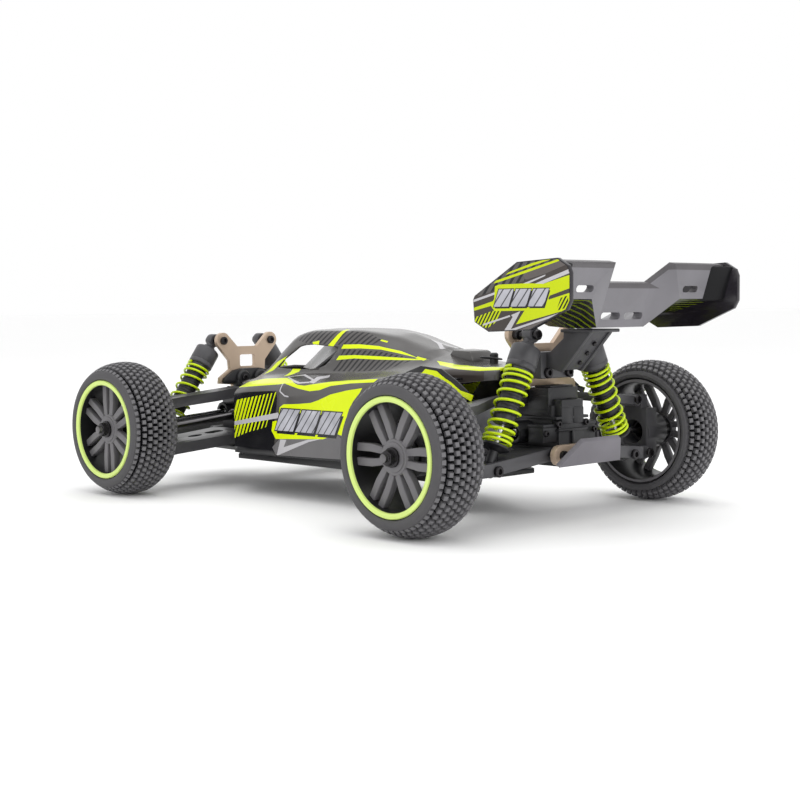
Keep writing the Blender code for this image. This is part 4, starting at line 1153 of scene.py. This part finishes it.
def wing_finish(centre, normal):
    """Black end plates, a dark underside beside the middle, darker lips, and painted shade on the outer ends'
    inward faces.
    """
    if abs(centre.x) > PLATE_X:
        return 1
    if normal.z < -0.25 and normal.y < 0.8 and centre.z < 122 and abs(centre.x) > 20.5:
        return 2
    # Painted shade: inward-facing faces at the outer ends get the darker lip finish.
    if abs(centre.x) > 50.0 and normal.x * centre.x < -2.0:
        return 3
    if centre.z > LIP_Z or (abs(centre.x) < 22 and centre.z > MIDDLE_LIP_Z):
        return 3
    return 0


def make_wing():
    """The wing's own shape, a gusset in painted shade inside each end plate, and a printed sheet on the outside of
    each end plate.
    """
    refined("rear_wing", ("blade", "gloss", "under", "lip"), 0.5, wing_finish, WING_CUTS)
    for side in SIDES:
        # A gusset beside each end plate, coloured near-black as painted shade.
        fairing = [(57.5, 184.0), (70.2, 178.0), (70.2, 191.5), (66.0, 190.5)]
        bm = prism(fairing, 119.0, 137.4, "XY", 0.8)
        for v in bm.verts:
            v.co.y += (v.co.z - 120.0) * 0.33
        present(f"wing_fairing_{side}", on_side(bm, side), ("gusset_shade",), "chassis")
    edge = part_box("rear_wing")[1].x / MM
    finishes = ("brown", "slats", "print", "pale", "silver", "hatch", "taupe", "ink")
    numbers = {name: i for i, name in enumerate(finishes)}
    for side in SIDES:
        bm = bmesh.new()
        bm.faces.new([bm.verts.new((edge + 0.02, y, z)) for y, z in PLATE_EDGE])
        for finish, outline in plate_decal():
            paint(bm, outline, numbers[finish])
        thicken(bm, (0.22, 0, 0))
        outward(bm)
        present(f"wing_decal_{side}", on_side(bm, side), finishes, "chassis", smooth=30)


# ---- plates and castings


def make_towers():
    """The two sheet towers, with the bolts that the shock absorbers hang from."""
    front = [(8.3, 91.4), *arc((20, 95.5), 5.4, 125, -40, 10), (15.2, 82), (14.6, 76)]
    front += [(23, 70.5), (23.6, 66.5), (12.6, 65.6), (11.5, 58)]
    rear = [(9.5, 96.4), *arc((22.5, 101.5), 5.4, 125, -40, 10), (16, 86.5), (15.4, 77.5)]
    rear += [(27, 76), (28.5, 74), (28.5, 68.6), (22, 66), (20.4, 65), (19.9, 72.2), (0, 72.9)]
    for end, half, span, window, wall, tip in (
        ("front", front, (-148.5, -145.5), (77.8, 85.8), -148.5, -161.5),
        ("rear", rear, (117.2, 120.2), (84.0, 91.5), 120.2, 136.5),
    ):
        low, high = window
        hole = []
        for x, z, start in (
            (5.2, high - 1.2, 0), (-5.2, high - 1.2, 90), (-5.2, low + 1.2, 180), (5.2, low + 1.2, 270),
        ):
            hole += arc((x, z), 1.2, start, start + 90, 3)
        shapes = [(plate(both_halves(half), *span, "XZ", hole), 0)]
        step = 1 if tip > wall else -1
        for side in (1, -1):
            top = Vector(JOINTS[f"{end}_left_shock_pivot"]["pos_m"]) / MM
            x, z = top.x * side, top.z
            shapes.append((rod((x, wall - step, z), (x, tip, z), 1.6), 1))
            shapes.append((rod((x, wall, z), (x, wall + 3.6 * step, z), 2.9), 1))
            shapes.append((screw((x, tip - step, z), (0, step, 0), 2.8, 2.0), 1))
            shapes.append((screw((x, wall - 3 * step, z), (0, -step, 0), 2.7, 1.7), 1))
        body = f"{end}_shock_tower"
        present(f"{body}_body", combine(shapes), ("bronze", "screw"), "chassis", (body,))


def make_wing_mount():
    """The strut that carries the wing: a foot with two screws and an open channel."""
    wall = [
        (131.0, 84.0), (141.5, 81.0), (160.8, 101.4), (163.0, 104.2), (143.0, 104.2), (143.0, 99.5),
        (134.0, 92.3), (131.0, 92.0),
    ]
    web = [(137.5, 82.4), (141.0, 82.0), (160.0, 102.0), (161.4, 103.8), (156.4, 103.8)]
    shapes = [
        (block((-14.0, 14.0), (120.5, 131.2), (77.4, 92.0), 0.8), 0),
        (block((-12.0, 12.0), (143.0, 164.6), (102.6, 104.4), 0.5), 0),
        (prism(web, -8.0, 8.0, "YZ", 0.5), 0),
    ]
    for x in (-9.6, 7.0):
        shapes.append((prism(wall, x, x + 2.6, "YZ", 0.6), 0))
    for side in (1, -1):
        shapes.append((screw((side * 8.8, 131.0, 80.6), (0, 1, 0), 2.9, 2.2), 1))
    for step in range(3):
        place = Vector((-1.5, 145.2 + 5.0 * step, 86.4 + 5.2 * step))
        shapes.append((rod(place, place + Vector((0, 1.0, -0.95)), 1.3), 1))
    present("wing_mount_body", combine(shapes), ("satin", "screw"), "chassis", ("wing_mount",))


def make_gearbox_details():
    """Steps, a rib and screws on the rear gear case; lugs and a cover on the front tower."""
    roof = [(-12.7, 60), (12.7, 60), (12.7, 68.5), (9, 73), (-9, 73), (-12.7, 68.5)]
    step = [(134.5, 53.0), (142.0, 53.0), (142.0, 61.5), (138.5, 66.4), (134.5, 66.4)]
    shapes = [
        (prism(roof, 121.4, 135.4, "XZ", 1.0), 0),
        (prism(step, -9.4, -0.8, "YZ", 0.8), 0),
        (prism(step, 0.8, 9.4, "YZ", 0.8), 0),
        (block((-13.6, 13.6), (103.0, 141.8), (55.6, 57.2), 0.4), 0),
        (block((-12.2, 12.2), (98.5, 142.3), (49.0, 50.4), 0.4), 0),
        (block((-22.6, 22.6), (128.6, 140.2), (51.6, 53.4), 0.4), 0),
        (block((-9.6, 9.6), (122.6, 134.2), (72.4, 73.6), 0.5), 0),
        (block((-0.9, 0.9), (140.5, 142.4), (33.0, 49.4), 0.4), 0),
    ]
    for side in (1, -1):
        shapes.append((screw((side * 11.6, 141.0, 53.2), (0, 1, 0), 1.9, 1.6), 1))
        shapes.append((screw((side * 20.2, 140.0, 48.6), (0, 1, 0), 1.7, 1.4), 1))
        lug = (7.3 * side, -145.4, 70.4)
        shapes.append((rod(lug, (7.3 * side, -139.0, 70.4), 5.3, chamfer=1.2), 0))
        shapes.append((screw((7.3 * side, -139.1, 70.4), (0, 1, 0), 2.2, 1.2), 1))
    shapes.append((block((-13.0, 13.0), (-145.3, -139.6), (62.0, 69.0), 1.0), 0))
    cover = [(22.4, 66.8), (22.0, 70.0), (13.8, 75.4), (8.0, 76.5)]
    shapes.append((prism(both_halves(cover), -145.4, -142.0, "XZ", 0.8), 0))
    present("gear_case_details", combine(shapes), ("black", "screw"), "chassis")


def make_screws():
    """Screw heads on the suspension, each on the piece that it holds."""
    heads = {
        "rear_{}_lower_arm": (((57.9, 139.4, 31.4), (0, 1, 0), 3.0),),
        "rear_{}_hub": (((78.0, 135.0, 30.6), (0, 1, 0), 2.8), ((76.5, 127.4, 61.6), (0, 1, 0), 2.5)),
    }
    for pattern, screws in heads.items():
        for side in SIDES:
            node = pattern.format(side)
            shapes = [(screw(*spec), 0) for spec in screws]
            bm = on_side(combine(shapes), side)
            present(f"{node}_screws", bm, ("screw",), BODY_OF[node])


def make_mud_guards():
    """The bright guards inside the rear wheels."""
    front = [(64.5, 79.9), (73.5, 80.6), (75.9, 82.7), (84.6, 81.8), (90.1, 78.4), (95.5, 76.0)]
    front += [(93.0, 73.8), (84.0, 76.6), (72.0, 76.4), (62.0, 76.8)]
    rear = [(95.5, 76.0), (102.4, 71.8), (112.2, 69.5), (110.7, 66.1), (106.2, 67.9), (93.0, 73.8)]
    ink = [(60.0, 80.6), (72.0, 84.4), (88.0, 83.0), (100.0, 76.5), (108.0, 71.0), (104.0, 66.0)]
    ink += [(90.0, 71.0), (62.0, 74.0)]
    for side in SIDES:
        shapes = [
            (prism(ink, 45.9, 46.9, "YZ", 0.2), 1),
            (block((34.0, 46.4), (74.0, 92.0), (76.6, 77.8), 0.3), 1),
        ]
        for sheet in (front, rear):
            shapes.append((prism(sheet, 46.5, 47.0, "YZ", 0.1), 1))
            shapes.append((prism(sheet, 47.0, 47.5, "YZ", 0.1), 0))
        present(f"mud_guard_{side}", on_side(combine(shapes), side), ("neon", "ink"), "chassis")


def carry_over():
    """Rounds the edges of every CAD node that nothing above stands for."""
    by_kind = {
        "lower_arm": "satin",
        "upper_arm": "satin",
        "hub": "satin",
        "driveshaft": "steel",
        "tie_rod": "dark_steel",
    }
    by_node = {
        "front_bumper": "satin",
        "motor": "can",
        "battery_pack": "wrap",
        "centre_driveshaft": "steel",
    }
    for node in sorted(frame["nodes"]):
        if node in SHOWN:
            continue
        kind = node.split("_", 2)[2] if node.count("_") >= 2 else node
        finish = by_node.get(node) or by_kind.get(kind) or "black"
        refined(node, (finish,))


def bumper_finish(centre, normal):
    """From the back: the grey skid plate, the screws and the bronze brace."""
    if centre.y > 150.2:
        return 0
    return 2 if 147.6 < centre.y < 150.0 else 1


def make_bumper():
    refined("rear_bumper", ("grey", "bronze", "screw"), 0.5, bumper_finish)


# ---- studio


def make_studio():
    world = bpy.data.worlds.new("studio")
    world.use_nodes = True
    world.node_tree.nodes["Background"].inputs["Color"].default_value = (1, 1, 1, 1)
    world.node_tree.nodes["Background"].inputs["Strength"].default_value = 1.0
    bpy.context.scene.world = world
    bpy.context.scene.view_settings.view_transform = "Standard"
    mesh = bpy.data.meshes.new("floor")
    reach = 40.0
    mesh.from_pydata(
        [(-reach, -reach, 0), (reach, -reach, 0), (reach, reach, 0), (-reach, reach, 0)],
        [],
        [(0, 1, 2, 3)],
    )
    floor = bpy.data.objects.new("floor", mesh)
    bpy.context.scene.collection.objects.link(floor)
    mesh.materials.append(
        surface("studio_floor", (0.985, 0.985, 0.985), 0.8, vary=0.002, patch=2.0, grain=0.02)
    )
    for name, place, size, power in (
        ("overhead", (0.1, 0.1, 1.3), 1.4, 5.0),
        ("left_fill", (1.5, 0.3, 0.55), 1.0, 1.5),
        ("rear_fill", (0.1, 1.6, 0.6), 1.0, 5.0),
        ("front_rim", (-0.9, -1.2, 0.9), 1.0, 1.5),
    ):
        light = bpy.data.lights.new(name, "AREA")
        light.shape = "SQUARE"
        light.size = size
        light.energy = power
        made = bpy.data.objects.new(name, light)
        bpy.context.scene.collection.objects.link(made)
        made.location = place
        made.rotation_euler = (Vector((0, 0, 0.05)) - Vector(place)).to_track_quat("-Z", "Y").to_euler()


def main():
    make_camera()
    make_studio()
    make_shell()
    make_cockpit()
    make_wheels()
    for end, turns in (("front", 9.5), ("rear", 10.5)):
        for side in SIDES:
            make_shock(f"{end}_{side}", turns)
    make_wing()
    make_wing_mount()
    make_towers()
    make_gearbox_details()
    make_screws()
    make_mud_guards()
    make_bumper()
    carry_over()


main()
